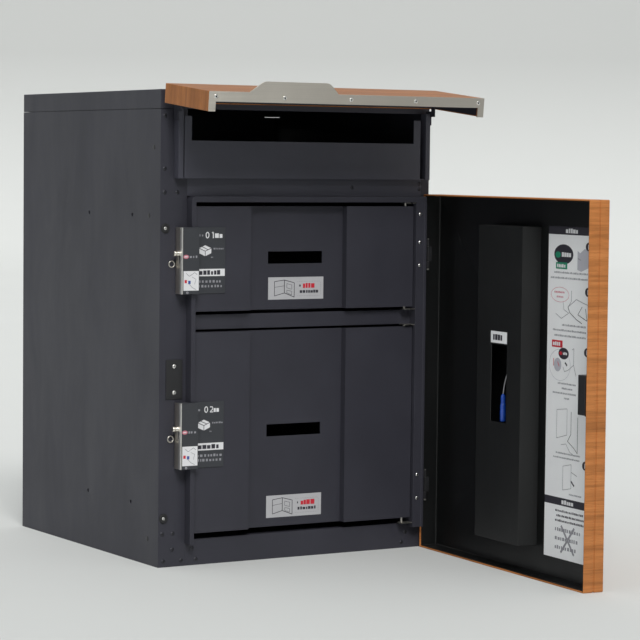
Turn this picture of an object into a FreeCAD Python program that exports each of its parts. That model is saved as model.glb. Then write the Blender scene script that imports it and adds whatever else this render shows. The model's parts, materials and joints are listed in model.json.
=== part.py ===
import FreeCAD, Part
import Sketcher
import math
import os
import re

# Wall or floor standing mail and parcel cabinet with a lift-up mail lid, a large front
# door, two lockable parcel compartments and a rear collection door.
# Millimetres. The origin is the centre of the cabinet's base, +Z is up, the front faces
# -Y. Positions are written from the cabinet's left front bottom corner: x to the right,
# y back from the front flange, z up. The door and lid are modelled closed, then turned.

# ---------------------------------------------------------------- driving dimensions
SIZES = {
    # cabinet
    "width": 434, "depth": 444, "height": 650, "gauge": 1.5, "cap_height": 26,
    "stile": 41, "hinge_flange": 12.8, "rear_flange": 20, "lip_depth": 20,
    "base_height": 36, "seam_gap": 0.5, "rail_inset": 40, "rail_width": 20,
    "anchor_span_x": 300, "anchor_span_y": 330, "anchor_radius": 4.5, "access_radius": 10,
    "link_span_y": 135, "link_span_z": 398, "link_setback": 83, "link_rise": 81,
    "link_radius": 2.5, "plug_radius": 3.5, "plug_height": 0.8,
    # mail section, measured down from the cabinet's top
    "mail_zone": 120, "mail_sill_height": 51.5, "mail_ear_height": 84.5, "mail_ear_width": 11.5,
    "mail_wall": 7.5, "mail_reach": 13.6, "mail_left": 20.5, "mail_right": 7.5,
    "mail_plate_left": 9.5, "mail_plate_right": 15.5, "mail_plate_set": 12, "mail_fold": 12,
    # parcel opening
    "rail_height": 23.8, "frame_head": 8.2, "frame_reach": 15, "frame_inset": 10,
    "frame_wall": 6.5, "frame_jamb": 17.2, "frame_tail": 5, "frame_corner": 7,
    "hem_width": 4, "hem_gauge": 0.8, "upper_opening": 154, "shelf_bar": 20,
    "panel_gauge": 1.2, "rear_space": 22,
    # front door
    "door_lap": 3.3, "door_thickness": 30.6, "door_gap": 2.3, "door_skin": 1.8,
    "tray_setback": 2, "tray_gauge": 0.9, "tray_floor_gap": 4, "groove_setback": 13.8,
    "groove_width": 3.4, "groove_depth": 1.0, "hinge_inset": 5, "hinge_reach": 8,
    "door_angle": 86, "barrel_radius": 1.8, "pin_radius": 1, "running_fit": 0.05,
    "hinge_length": 42, "hinge_knuckle": 10, "knuckle_play": 0.3, "jamb_leaf_gauge": 1,
    "jamb_leaf_set": 0.5, "arm_front": 1.4, "arm_back": 0.4, "leaf_gauge": 1.2,
    "leaf_width": 10.5, "leaf_rise": 3.5, "upper_hinge_drop": 106.5, "lower_hinge": 70,
    # stamp box inside the front door
    "stamp_box_left": 162.5, "stamp_box_width": 115, "stamp_box_slope": 5.5,
    "stamp_box_foot": 39, "stamp_box_top": 39, "stamp_slot_left": 36, "stamp_slot_width": 41,
    "stamp_slot_foot": 163, "stamp_slot_height": 106, "stamp_radius": 4, "stamp_length": 38,
    "stamp_cap_length": 14.4, "stamp_cap_radius": 3.2, "stamp_foot": 202, "stamp_shift": 4,
    "stamp_setback": 10, "cord_radius": 0.7, "hook_gauge": 1.5, "hook_width": 3,
    "hook_foot_width": 8, "hook_foot_height": 11.5,
    # catch
    "catch_width": 17, "catch_height": 52, "catch_inset": 4, "catch_rise": 2,
    "strike_left": 10, "strike_width": 25.4, "strike_height": 54, "strike_gauge": 1.2,
    "strike_screw_span": 36, "screw_radius": 3, "screw_height": 0.8, "jamb_screw_radius": 2.4,
    "bumper_radius": 6.7, "bumper_height": 2, "bumper_inset": 7.8, "upper_bumper_drop": 47,
    "lower_bumper": 67, "ring_gap": 6.5, "ring_drop": 5, "ring_radius": 4.2, "ring_wire": 0.9,
    # mail lid
    "lid_length": 124.5, "lid_thickness": 26.5, "lid_skin": 1.6, "lid_liner": 0.8,
    "liner_play": 0.2, "liner_setback": 1.5, "lid_axis_inset": 14, "lid_axis_drop": 7,
    "lid_angle": 84, "lid_band": 13.5, "lid_leg": 10, "strip_gauge": 1.5, "tab_left": 60,
    "tab_width": 137, "tab_reach": 14.5, "tab_slope": 21, "tab_right_slope": 14.7,
    "tab_corner": 14, "ear_gauge": 1.8, "ear_radius": 4, "ear_height": 16, "lug_play": 0.3,
    "lid_pin_radius": 2, "pin_overhang": 0.5,
    # inner doors
    "inner_left": 49.5, "inner_right": 31.4, "inner_face": 9, "inner_back": 8,
    "channel_left": 136, "channel_right": 291, "channel_face": 2.5,
    "upper_top_gap": 5.7, "lower_top_gap": 3.5, "upper_foot_gap": 5, "lower_foot_gap": 9.2,
    "inner_axis_inset": 42.2, "inner_axis_reach": 4, "inner_edge_back": 1.5, "slip_left": 170,
    "slip_width": 87.5, "slip_height": 17, "tab_gauge": 1.5, "tab_lip": 6, "low_tab_rise": 1,
    "tab_front_set": 2, "tab_back_set": 1, "inner_pin_grip": 4,
    # lock cases on the inner doors
    "case_left": 24, "case_width": 25.2, "case_height": 90.4, "case_face": 21.3,
    "case_back": 4, "case_plate": 46, "case_play": 1, "case_wall": 1.5,
    "upper_case_drop": 2.2, "lower_case_rise": 0.4, "knob_radius": 3.8, "knob_reach": 9.5,
    "knob_play": 0.3, "knob_setback": 12, "knob_travel": 10, "knob_rise": 10.3,
    "stem_radius": 1.3, "slider_height": 13, "slider_depth": 10, "slider_gauge": 3,
    # rear door
    "rear_door_gap": 2, "rear_pin_play": 0.5, "rear_door_depth": 9, "rear_axis_inset": 4.5,
    "rear_stop_lap": 8, "rear_stop_clearance": 2.5, "rear_lip_height": 20,
    "lock_radius": 9, "lock_reach": 14, "lock_flange": 2, "plug_turn_radius": 5,
    "plug_length": 19, "plug_overhang": 2.5,
    "lock_inset": 18, "cam_length": 30, "cam_width": 10, "cam_gauge": 2,
    "key_slot_width": 1, "key_slot_length": 7,
    # how far a cutting tool runs past the faces that it opens
    "overrun": 2,
}

doc = FreeCAD.newDocument("mail_and_parcel_box")
sheet = doc.addObject("Spreadsheet::Sheet", "sizes")
for row, (alias, value) in enumerate(SIZES.items(), start=1):
    sheet.set(f"A{row}", alias)
    sheet.set(f"B{row}", str(value))
    sheet.setAlias(f"B{row}", alias)
doc.recompute()

# Levels and lines worked out from the driving dimensions, as expression text.
CAP_SEAM = "(height - cap_height)"
MAIL_SILL = "(height - mail_zone)"
HEAD_TOP = f"({MAIL_SILL} - rail_height)"
UPPER_TOP = f"({HEAD_TOP} - frame_head)"
SHELF_TOP = f"({UPPER_TOP} - upper_opening)"
SHELF_FOOT = f"({SHELF_TOP} - shelf_bar)"
JAMB_RIGHT = "(width - hinge_flange)"
JAMB_LEFT = f"({JAMB_RIGHT} - frame_jamb)"
LINER_LEFT = "(stile + frame_wall)"
LINER_BACK = "(depth - rear_space)"
DOOR_HEIGHT = f"({HEAD_TOP} + door_lap)"
DOOR_FACE = "(door_gap + door_thickness)"
TRAY_FLOOR = f"(tray_floor_gap - {DOOR_FACE})"
TRAY_WALL = "(door_skin + tray_gauge)"
UPPER_HINGE = f"({DOOR_HEIGHT} - upper_hinge_drop)"
CATCH_MIDDLE = f"({DOOR_HEIGHT} / 2 + catch_rise)"
LID_AXIS_Y = f"(lid_axis_inset - {DOOR_FACE})"
LID_AXIS_Z = "(height - lid_axis_drop)"
LID_FOOT = "(height - lid_length)"
REAR_TOP = f"({CAP_SEAM} - rear_flange)"
REAR_FOOT = "base_height"

NODES = {}


def bound(text):
    """Expression text with each alias pointed at the sheet of driving dimensions."""
    return re.sub(r"[a-z_]*[a-z]", lambda word: "sizes." + word.group(0), str(text))


def measure(text):
    """Present value of an expression in driving dimensions, in millimetres."""
    cell = doc.addObject("Part::Vertex", "probe")
    cell.setExpression("X", bound(text))
    doc.recompute([cell])
    value = float(cell.X)
    doc.removeObject(cell.Name)
    return value


def place(thing, x, y, z):
    """Bind the base of an object's Placement, from the left front bottom corner."""
    thing.setExpression("Placement.Base.x", bound(f"({x}) - width / 2"))
    thing.setExpression("Placement.Base.y", bound(f"({y}) - depth / 2"))
    thing.setExpression("Placement.Base.z", bound(z))


def box(x0, x1, y0, y1, z0, z1):
    """Block between three pairs of planes."""
    block = doc.addObject("Part::Box", "block")
    block.setExpression("Length", bound(f"({x1}) - ({x0})"))
    block.setExpression("Width", bound(f"({y1}) - ({y0})"))
    block.setExpression("Height", bound(f"({z1}) - ({z0})"))
    place(block, x0, y0, z0)
    return block


def rod(direction, x, y, z, radius, length):
    """Cylinder from a point along +X, +Y or +Z."""
    turn = {
        "x": FreeCAD.Rotation(FreeCAD.Vector(0, 1, 0), 90),
        "y": FreeCAD.Rotation(FreeCAD.Vector(1, 0, 0), -90),
        "z": FreeCAD.Rotation(),
    }[direction]
    bar = doc.addObject("Part::Cylinder", "bar")
    bar.setExpression("Radius", bound(radius))
    bar.setExpression("Height", bound(length))
    bar.Placement = FreeCAD.Placement(FreeCAD.Vector(), turn)
    place(bar, x, y, z)
    return bar


def loop(x, y, z, ring_radius, wire_radius):
    """Ring lying flat against the front flange, its axis along Y."""
    ring = doc.addObject("Part::Torus", "ring")
    ring.setExpression("Radius1", bound(ring_radius))
    ring.setExpression("Radius2", bound(wire_radius))
    turn = FreeCAD.Rotation(FreeCAD.Vector(1, 0, 0), 90)
    ring.Placement = FreeCAD.Placement(FreeCAD.Vector(), turn)
    place(ring, x, y, z)
    return ring


def fuse(*pieces):
    """One solid from pieces that meet."""
    union = doc.addObject("Part::MultiFuse", "union")
    union.Shapes = list(pieces)
    union.Refine = True
    return union


def cut(base, *tools):
    """Base with one or more tools taken away."""
    remainder = doc.addObject("Part::Cut", "remainder")
    remainder.Base = base
    remainder.Tool = tools[0] if len(tools) == 1 else group(*tools)
    return remainder


def group(*pieces):
    """Several separate solids handled as one object."""
    bundle = doc.addObject("Part::Compound", "bundle")
    bundle.Links = list(pieces)
    return bundle


def node(name, thing, pose=None):
    """Register a finished sub-part, turned by its pose where it has one."""
    if pose is not None:
        if thing.TypeId in ("Part::Box", "Part::Cylinder"):
            thing = group(thing)
        thing.setExpression("Placement", pose)
    thing.Label = name
    NODES[name] = thing
    return thing


def vector_of(x, y, z):
    """Expression for a vector whose parts are expressions in driving dimensions."""
    return f"vector({bound(x)}; {bound(y)}; {bound(z)})"


def door_pose():
    """Turn of the front door from closed to the stored opening, about its hinge pins."""
    centre = vector_of("width / 2 - hinge_inset", "-depth / 2 - hinge_reach", "0")
    turn = f"rotation(vector(0; 0; 1); {bound('door_angle')})"
    return f"placement(vector(0; 0; 0); {turn}; {centre})"


def lid_pose():
    """Turn of the mail lid from closed to the stored opening, about its two pins."""
    centre = vector_of("0", f"{LID_AXIS_Y} - depth / 2", LID_AXIS_Z)
    turn = f"rotation(vector(-1; 0; 0); {bound('lid_angle')})"
    return f"placement(vector(0; 0; 0); {turn}; {centre})"


DOOR = door_pose()
LID = lid_pose()


# ---------------------------------------------------------------- sketch based pieces
def plane_of(body, role):
    """Origin plane of a body, found by its role."""
    for feature in body.Origin.OriginFeatures:
        if feature.Role == role:
            return feature
    raise ValueError(role)


def rectangle(sketch, u0, v0, u_size, v_size, name):
    """Rectangle in a sketch, its corner and sizes bound to the driving dimensions."""
    du = max(measure(u_size), 1)
    dv = max(measure(v_size), 1)
    pu = measure(u0)
    pv = measure(v0)
    corners = [(pu, pv), (pu + du, pv), (pu + du, pv + dv), (pu, pv + dv)]
    first = sketch.GeometryCount
    for index in range(4):
        start = FreeCAD.Vector(*corners[index], 0)
        end = FreeCAD.Vector(*corners[(index + 1) % 4], 0)
        sketch.addGeometry(Part.LineSegment(start, end), False)
    for index in range(4):
        following = first + (index + 1) % 4
        sketch.addConstraint(Sketcher.Constraint("Coincident", first + index, 2, following, 1))
    for index, kind in enumerate(("Horizontal", "Vertical", "Horizontal", "Vertical")):
        sketch.addConstraint(Sketcher.Constraint(kind, first + index))
    settings = (
        ("DistanceX", (-1, 1, first, 1), pu, u0, "u"),
        ("DistanceY", (-1, 1, first, 1), pv, v0, "v"),
        ("DistanceX", (first, 1, first, 2), du, u_size, "width"),
        ("DistanceY", (first + 1, 1, first + 1, 2), dv, v_size, "height"),
    )
    for kind, ends, value, text, suffix in settings:
        number = sketch.addConstraint(Sketcher.Constraint(kind, *ends, value))
        sketch.renameConstraint(number, f"{name}_{suffix}")
        sketch.setExpression(f"Constraints.{name}_{suffix}", bound(text))


def circle(sketch, u, v, radius, name):
    """Circle in a sketch, its centre and radius bound to the driving dimensions."""
    centre = FreeCAD.Vector(measure(u), measure(v), 0)
    size = measure(radius)
    index = sketch.addGeometry(Part.Circle(centre, FreeCAD.Vector(0, 0, 1), size), False)
    settings = (
        ("DistanceX", (-1, 1, index, 3), centre.x, u, "u"),
        ("DistanceY", (-1, 1, index, 3), centre.y, v, "v"),
        ("Radius", (index,), size, radius, "radius"),
    )
    for kind, ends, value, text, suffix in settings:
        number = sketch.addConstraint(Sketcher.Constraint(kind, *ends, value))
        sketch.renameConstraint(number, f"{name}_{suffix}")
        sketch.setExpression(f"Constraints.{name}_{suffix}", bound(text))


def new_sketch(body, role, name):
    """Empty sketch on one of a body's origin planes."""
    sketch = body.newObject("Sketcher::SketchObject", name)
    sketch.AttachmentSupport = [(plane_of(body, role), "")]
    sketch.MapMode = "FlatFace"
    return sketch


def sketched_sheet(role, outline, depth, windows=(), holes=()):
    """Flat sheet padded from a sketched outline, with windows and round holes cut through.

    The sketch's own corner is the body's origin, so every distance in it is positive.
    """
    body = doc.addObject("PartDesign::Body", "body")
    sketch = new_sketch(body, role, "outline")
    rectangle(sketch, *outline, "outline")
    pad = body.newObject("PartDesign::Pad", "pad")
    pad.Profile = sketch
    pad.setExpression("Length", bound(depth))
    doc.recompute()
    if not windows and not holes:
        return body
    cuts = new_sketch(body, role, "cuts")
    for number, window in enumerate(windows):
        rectangle(cuts, *window, f"window_{chr(97 + number)}")
    for number, hole in enumerate(holes):
        circle(cuts, *hole, f"hole_{chr(97 + number)}")
    pocket = body.newObject("PartDesign::Pocket", "cut")
    pocket.Profile = cuts
    pocket.Type = "ThroughAll"
    pocket.Midplane = True
    doc.recompute()
    if not pocket.Shape.Volume < pad.Shape.Volume - 1:
        raise RuntimeError("the pocket removed nothing")
    return body


# ---------------------------------------------------------------- cabinet shell
def side_panel(mirror):
    """Bent side sheet: side, front flange, rear flange and the lip inside the roof cap."""
    flange = "hinge_flange" if mirror else "stile"

    def across(a, b):
        return (f"width - ({b})", f"width - ({a})") if mirror else (a, b)

    top = f"({CAP_SEAM} - seam_gap)"
    side = box(*across("0", "gauge"), "0", "depth", "0", top)
    front = box(*across("0", flange), "0", "gauge", "0", top)
    rear = box(*across("0", "rear_flange"), "depth - gauge", "depth", "0", top)
    lip = box(*across("gauge", "2 * gauge"), "lip_depth", "depth - lip_depth",
              f"{CAP_SEAM} - lip_depth", "height - 2 * gauge")
    start = across("-overrun", "gauge + overrun")[0]
    holes = []
    for y in ("link_setback", "link_setback + link_span_y"):
        for z in ("link_rise", "link_rise + link_span_z"):
            holes.append(rod("x", start, y, z, "link_radius", "gauge + 2 * overrun"))
    return cut(fuse(side, front, rear, lip), *holes)


PLUG_SPOTS = (("19", f"{CAP_SEAM} - 52"), ("33", "link_rise + link_span_z"), ("32", "base_height"))


def hole_plugs():
    """Domed plugs near the front edge of each side panel."""
    plugs = []
    for start in ("-plug_height", "width"):
        for y, z in PLUG_SPOTS:
            plugs.append(rod("x", start, y, z, "plug_radius", "plug_height"))
    return group(*plugs)


def roof_cap():
    """Folded roof: top sheet with a skirt on all four sides."""
    outer = box("0", "width", "0", "depth", CAP_SEAM, "height")
    inner = box("gauge", "width - gauge", "gauge", "depth - gauge", f"{CAP_SEAM} - overrun",
                "height - gauge")
    return cut(outer, inner)


def base_pan():
    """Bottom sheet with four anchor holes."""
    spread_x = "(width - 2 * gauge - anchor_span_x) / 2"
    spread_y = "(depth - 2 * gauge - anchor_span_y) / 2"
    holes = []
    for u in (spread_x, f"{spread_x} + anchor_span_x"):
        for v in (spread_y, f"{spread_y} + anchor_span_y"):
            holes.append((u, v, "anchor_radius"))
    body = sketched_sheet("XY_Plane", ("0", "0", "width - 2 * gauge", "depth - 2 * gauge"),
                          "gauge", holes=holes)
    place(body, "gauge", "gauge", "0")
    return body


def parcel_floor():
    """Floor of the lower compartment, with access holes over the anchor holes."""
    width = f"({JAMB_LEFT} - {LINER_LEFT} + 4 * gauge)"
    spread_x = f"((width - anchor_span_x) / 2 - {LINER_LEFT} + 2 * gauge)"
    spread_y = "((depth - anchor_span_y) / 2 - gauge)"
    holes = []
    for u in (spread_x, f"{spread_x} + anchor_span_x"):
        for v in (spread_y, f"{spread_y} + anchor_span_y"):
            holes.append((u, v, "access_radius"))
    body = sketched_sheet("XY_Plane", ("0", "0", width, "depth - 2 * gauge"), "gauge",
                          holes=holes)
    place(body, f"{LINER_LEFT} - 2 * gauge", "gauge", "base_height - gauge")
    return body


def floor_rails():
    """Two square tubes that carry the parcel floor off the bottom sheet."""
    rails = []
    for x in ("stile + rail_inset", f"{JAMB_LEFT} - rail_inset - rail_width"):
        bar = box(x, f"{x} + rail_width", "gauge", "depth - 2 * gauge", "gauge",
                  "base_height - gauge")
        hollow = box(f"{x} + gauge", f"{x} + rail_width - gauge", "gauge - overrun", "depth",
                     "2 * gauge", "base_height - 2 * gauge")
        rails.append(cut(bar, hollow))
    return group(*rails)


def front_rail():
    """Horizontal face strip between the mail section and the parcel frame."""
    return box("stile", JAMB_RIGHT, "0", "gauge", HEAD_TOP, MAIL_SILL)


def bottom_board():
    """Horizontal face strip below the parcel opening."""
    return box("stile", JAMB_RIGHT, "0", "gauge", "0", "base_height")


def rear_sill():
    """Horizontal strip between the two rear flanges, below the collection door."""
    return box("rear_flange", "width - rear_flange", "depth - gauge", "depth", "0", REAR_FOOT)


def rear_header():
    """Strip above the collection door, with a lip in the roof cap and a stop behind the door."""
    left = "rear_flange"
    right = "width - rear_flange"
    back = "depth - rear_door_depth - rear_stop_clearance"
    strip = box(left, right, "depth - gauge", "depth", REAR_TOP, f"{CAP_SEAM} - seam_gap")
    lip = box(left, right, "depth - 2 * gauge", "depth - gauge", f"{CAP_SEAM} - rear_lip_height",
              "height - 2 * gauge")
    web = box(left, right, f"{back} - gauge", "depth - gauge", REAR_TOP, f"{REAR_TOP} + gauge")
    stop = box(left, right, f"{back} - gauge", back, f"{REAR_TOP} - rear_stop_lap", REAR_TOP)
    return fuse(strip, lip, web, stop)


# ---------------------------------------------------------------- mail section
MAIL_LEFT_IN = "(mail_left + mail_wall)"
MAIL_RIGHT_OUT = "(width - mail_right)"
MAIL_RIGHT_IN = f"({MAIL_RIGHT_OUT} - mail_wall)"


def mail_frame(x0, x1):
    """Boxed cheek that stands forward of the flange beside the mail slot."""
    return box(x0, x1, "-mail_reach", "0", MAIL_SILL, CAP_SEAM)


def mail_plate():
    """Plate below the mail slot, with an ear at each end and a fold along the slot."""
    left = "(mail_left + mail_plate_left)"
    width = f"({MAIL_RIGHT_OUT} - mail_plate_right - {left})"
    window = ("mail_ear_width", "mail_sill_height", f"{width} - 2 * mail_ear_width",
              "mail_ear_height")
    body = sketched_sheet("XY_Plane", ("0", "0", width, "mail_ear_height"), "gauge",
                          windows=(window,))
    corner = vector_of(f"{left} - width / 2", "gauge - mail_plate_set - depth / 2", MAIL_SILL)
    body.setExpression("Placement", f"placement({corner}; rotation(vector(1; 0; 0); 90))")
    return body


def mail_sill_fold():
    """Return fold behind the plate that guides letters over the slot's lower edge."""
    left = "mail_left + mail_plate_left + mail_ear_width"
    right = f"{MAIL_RIGHT_OUT} - mail_plate_right - mail_ear_width"
    set_back = "gauge - mail_plate_set"
    top = f"({MAIL_SILL} + mail_sill_height)"
    fold = box(left, right, set_back, f"{set_back} + mail_fold + gauge", f"{top} - gauge", top)
    drop = box(left, right, f"{set_back} + mail_fold", f"{set_back} + mail_fold + gauge",
               MAIL_SILL, top)
    return fuse(fold, drop)


def mail_floor():
    """Floor of the mail compartment."""
    return box("gauge", "width - gauge", "gauge", LINER_BACK, f"{MAIL_SILL} - gauge", MAIL_SILL)


def mail_apron():
    """Strip that closes the space under the mail plate, forward of the flange."""
    return box(MAIL_LEFT_IN, MAIL_RIGHT_IN, "gauge - mail_plate_set", "0", MAIL_SILL,
               f"{MAIL_SILL} + gauge")


# ---------------------------------------------------------------- parcel section
def parcel_frame():
    """Frame round the parcel opening: a thin left wall, a head and a wide hemmed hinge jamb."""
    walls = []
    for x0, x1 in (("stile", LINER_LEFT), (JAMB_LEFT, JAMB_RIGHT)):
        walls.append(box(x0, x1, "-frame_reach", "frame_inset", "base_height", HEAD_TOP))
        walls.append(box(x0, x1, "-frame_reach", "0", "base_height - frame_tail", "base_height"))
    head = box("stile", JAMB_RIGHT, "-frame_reach", "frame_inset", UPPER_TOP, HEAD_TOP)
    hem = box(f"{JAMB_RIGHT} - hem_width", JAMB_RIGHT, "-frame_reach - hem_gauge",
              "-frame_reach", "base_height - frame_tail", UPPER_TOP)
    corner = box("stile - overrun", "stile + frame_corner", "-frame_reach - overrun",
                 "frame_inset + overrun", f"{HEAD_TOP} - frame_corner", f"{HEAD_TOP} + overrun")
    round_tool = rod("y", "stile + frame_corner", "-frame_reach - 2 * overrun",
                     f"{HEAD_TOP} - frame_corner", "frame_corner",
                     "frame_reach + frame_inset + 4 * overrun")
    return cut(fuse(*walls, head, hem), cut(corner, round_tool))


def liner(x0, x1):
    """Inner side sheet of the parcel compartments."""
    return box(x0, x1, "frame_inset", LINER_BACK, "base_height", UPPER_TOP)


def parcel_ceiling():
    """Sheet over the upper compartment."""
    return box(f"{LINER_LEFT} - panel_gauge", f"{JAMB_LEFT} + panel_gauge", "frame_inset",
               LINER_BACK, UPPER_TOP, f"{UPPER_TOP} + panel_gauge")


def shelf():
    """Shelf between the compartments, folded down at the front and back."""
    plate = box(LINER_LEFT, JAMB_LEFT, "0", LINER_BACK, f"{SHELF_TOP} - panel_gauge", SHELF_TOP)
    bar = box(LINER_LEFT, JAMB_LEFT, "0", "panel_gauge", SHELF_FOOT, SHELF_TOP)
    back = box(LINER_LEFT, JAMB_LEFT, f"{LINER_BACK} - panel_gauge", LINER_BACK, SHELF_FOOT,
               SHELF_TOP)
    return fuse(plate, bar, back)


# ---------------------------------------------------------------- fasteners on the front
def button(x, z, radius, height, y="0"):
    """Low round head standing forward of a front face."""
    return rod("y", x, f"({y}) - ({height})", z, radius, height)


SCREW_SPOTS = (
    ("6.5", f"{CAP_SEAM} - 10"), ("6.5", f"{MAIL_SILL} + 13"), ("6.5", f"{MAIL_SILL} - 19"),
    ("25.8", f"{MAIL_SILL} - 19"), ("6.1", "base_height + 9.5"), ("22.3", "base_height + 9.5"),
    ("21.5", "23.5"), ("52", "23.5"), ("8", "7.8"), ("35.5", "7.8"), ("58.2", "7.8"),
    ("width - 33", "22.5"), ("width - 39.6", "7.8"), ("width - 129.6", f"{MAIL_SILL} - 11.3"),
    (f"{JAMB_RIGHT} - 3.5", f"{MAIL_SILL} - 5.4"), (f"{JAMB_RIGHT} - 3.5", f"{MAIL_SILL} - 13"),
)


def flange_screws():
    """Low heads on the left flange, the face strip and the bottom board."""
    return group(*[button(x, z, "screw_radius", "screw_height") for x, z in SCREW_SPOTS])


JAMB_SCREW_LEVELS = (f"{UPPER_HINGE} + 78", f"{UPPER_HINGE} + 38", f"{UPPER_HINGE} + 5",
                     "lower_hinge + 37", "lower_hinge + 3")


def jamb_screws():
    """Heads on the hinge jamb, above and beside the two hinges."""
    middle = f"({JAMB_LEFT} + {JAMB_RIGHT} - hem_width) / 2"
    heads = []
    for level in JAMB_SCREW_LEVELS:
        heads.append(button(middle, level, "jamb_screw_radius", "screw_height", "-frame_reach"))
    return group(*heads)


def bumpers():
    """Rubber buffers that the closed front door lands against."""
    pads = []
    for z in (f"{DOOR_HEIGHT} - upper_bumper_drop", "lower_bumper"):
        pads.append(button("bumper_inset", z, "bumper_radius", "bumper_height"))
    return group(*pads)


def strike_plate():
    """Keeper plate on the left flange for the touch catch."""
    return box("strike_left", "strike_left + strike_width", "-strike_gauge", "0",
               f"{CATCH_MIDDLE} - strike_height / 2", f"{CATCH_MIDDLE} + strike_height / 2")


def strike_screws():
    """Two heads on the keeper plate."""
    middle = "strike_left + strike_width / 2"
    heads = []
    for side in ("-", "+"):
        level = f"{CATCH_MIDDLE} {side} strike_screw_span / 2"
        heads.append(button(middle, level, "screw_radius", "screw_height", "-strike_gauge"))
    return group(*heads)


def keeper_rings():
    """Small wire rings on the flange beside the two sliding knobs."""
    rings = []
    for middle in (UPPER_CASE, LOWER_CASE):
        rings.append(loop("case_left - ring_gap", "-ring_wire", f"{middle} - ring_drop",
                          "ring_radius", "ring_wire"))
    return group(*rings)


# ---------------------------------------------------------------- front door
def door_shell():
    """Wood-finished outer pan with a groove round its edge."""
    outer = box("0", "width", f"-{DOOR_FACE}", "-door_gap", "0", DOOR_HEIGHT)
    inner = box("door_skin", "width - door_skin", f"door_skin - {DOOR_FACE}",
                "overrun - door_gap", "door_skin", f"{DOOR_HEIGHT} - door_skin")
    front = "-(door_gap + groove_setback + groove_width)"
    back = "-(door_gap + groove_setback)"
    ring = box("-overrun", "width + overrun", front, back, "-overrun",
               f"{DOOR_HEIGHT} + overrun")
    core = box("groove_depth", "width - groove_depth", f"{front} - overrun",
               f"{back} + overrun", "groove_depth", f"{DOOR_HEIGHT} - groove_depth")
    return cut(cut(outer, inner), cut(ring, core))


def door_tray():
    """Painted inner pan nested in the shell, its rim just behind the shell's."""
    rim = "-(door_gap + tray_setback)"
    outer = box("door_skin", "width - door_skin", f"door_skin - {DOOR_FACE}", rim, "door_skin",
                f"{DOOR_HEIGHT} - door_skin")
    inner = box(TRAY_WALL, f"width - {TRAY_WALL}", TRAY_FLOOR, f"{rim} + overrun", TRAY_WALL,
                f"{DOOR_HEIGHT} - {TRAY_WALL}")
    return cut(outer, inner)


def hinge_parts(level):
    """Fixed leaf, door leaf and pin of one front door hinge, its foot at the given level."""
    axis_x = "width - hinge_inset"
    axis_y = "-hinge_reach"
    top = f"({level} + hinge_length)"
    low = f"({level} + hinge_knuckle)"
    high = f"({top} - hinge_knuckle)"
    arm_front = f"{axis_y} - arm_front"
    arm_back = f"{axis_y} + arm_back"
    fixed = [box(JAMB_RIGHT, f"{JAMB_RIGHT} + jamb_leaf_gauge", "jamb_leaf_set - frame_reach",
                 arm_back, level, top)]
    for z0, z1 in ((level, low), (high, top)):
        fixed.append(box(JAMB_RIGHT, axis_x, arm_front, arm_back, z0, z1))
        fixed.append(rod("z", axis_x, axis_y, z0, "barrel_radius", f"{z1} - {z0}"))
    bores = []
    for _ in range(2):
        bores.append(rod("z", axis_x, axis_y, f"{level} - overrun", "pin_radius + running_fit",
                         "hinge_length + 2 * overrun"))
    z0 = f"({low} + knuckle_play)"
    z1 = f"({high} - knuckle_play)"
    seat = f"(width - {TRAY_WALL})"
    plate = box(f"{seat} - leaf_gauge", seat, f"{axis_y} + leaf_rise - leaf_width",
                f"{axis_y} + leaf_rise", z0, z1)
    barrel = rod("z", axis_x, axis_y, z0, "barrel_radius", f"{z1} - {z0}")
    pin = fuse(rod("z", axis_x, axis_y, f"{level} - overrun / 2", "pin_radius",
                   "hinge_length + overrun"),
               rod("z", axis_x, axis_y, f"{level} - overrun", "barrel_radius", "overrun"))
    return cut(fuse(*fixed), bores[0]), cut(fuse(plate, barrel), bores[1]), pin


STAMP_RIGHT = "(stamp_box_left + stamp_box_width)"
STAMP_TOP = f"({DOOR_HEIGHT} - stamp_box_top)"
SLOT_LEFT = "(stamp_box_left + stamp_slot_left)"
SLOT_FOOT = "(stamp_box_foot + stamp_slot_foot)"


def wedge(x0, x1, y0, y1, z0, z1, slope):
    """Block whose left and right sides lean in by the slope from its rear face to its front."""
    block = doc.addObject("Part::Wedge", "wedge")
    settings = {
        "Xmin": "0", "Xmax": f"({x1}) - ({x0})", "X2min": slope,
        "X2max": f"({x1}) - ({x0}) - ({slope})", "Ymin": "0", "Ymax": f"({y1}) - ({y0})",
        "Zmin": "0", "Zmax": f"({z1}) - ({z0})", "Z2min": "0", "Z2max": f"({z1}) - ({z0})",
    }
    for name, text in settings.items():
        block.setExpression(name, bound(text))
    place(block, x0, y0, z0)
    return block


def stamp_box():
    """Shallow box on the tray with leaning sides, flush with the rim, a tall slot in its face."""
    base_left = "(stamp_box_left - stamp_box_slope)"
    base_right = f"({STAMP_RIGHT} + stamp_box_slope)"
    outer = wedge(base_left, base_right, TRAY_FLOOR, "-door_gap", "stamp_box_foot", STAMP_TOP,
                  "stamp_box_slope")
    inner = wedge(f"{base_left} + panel_gauge", f"{base_right} - panel_gauge", TRAY_FLOOR,
                  "-(door_gap + panel_gauge)", "stamp_box_foot + panel_gauge",
                  f"{STAMP_TOP} - panel_gauge", "stamp_box_slope")
    slot = box(SLOT_LEFT, f"{SLOT_LEFT} + stamp_slot_width",
               "-(door_gap + panel_gauge + overrun)", "overrun - door_gap", SLOT_FOOT,
               f"{SLOT_FOOT} + stamp_slot_height")
    return cut(outer, inner, slot)


STAMP_X = f"({SLOT_LEFT} + stamp_slot_width / 2 + stamp_shift)"
STAMP_Y = "-(door_gap + stamp_setback)"
STAMP_HEAD = "(stamp_foot + stamp_length)"

# Route of the tether from the hook down to the stamp: right of and above the stamp's head.
TETHER = ((-13, 46), (-12, 32), (-2.5, 14), (0, 0))
SHARE = 0.45  # part of a run that an arc may take


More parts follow.
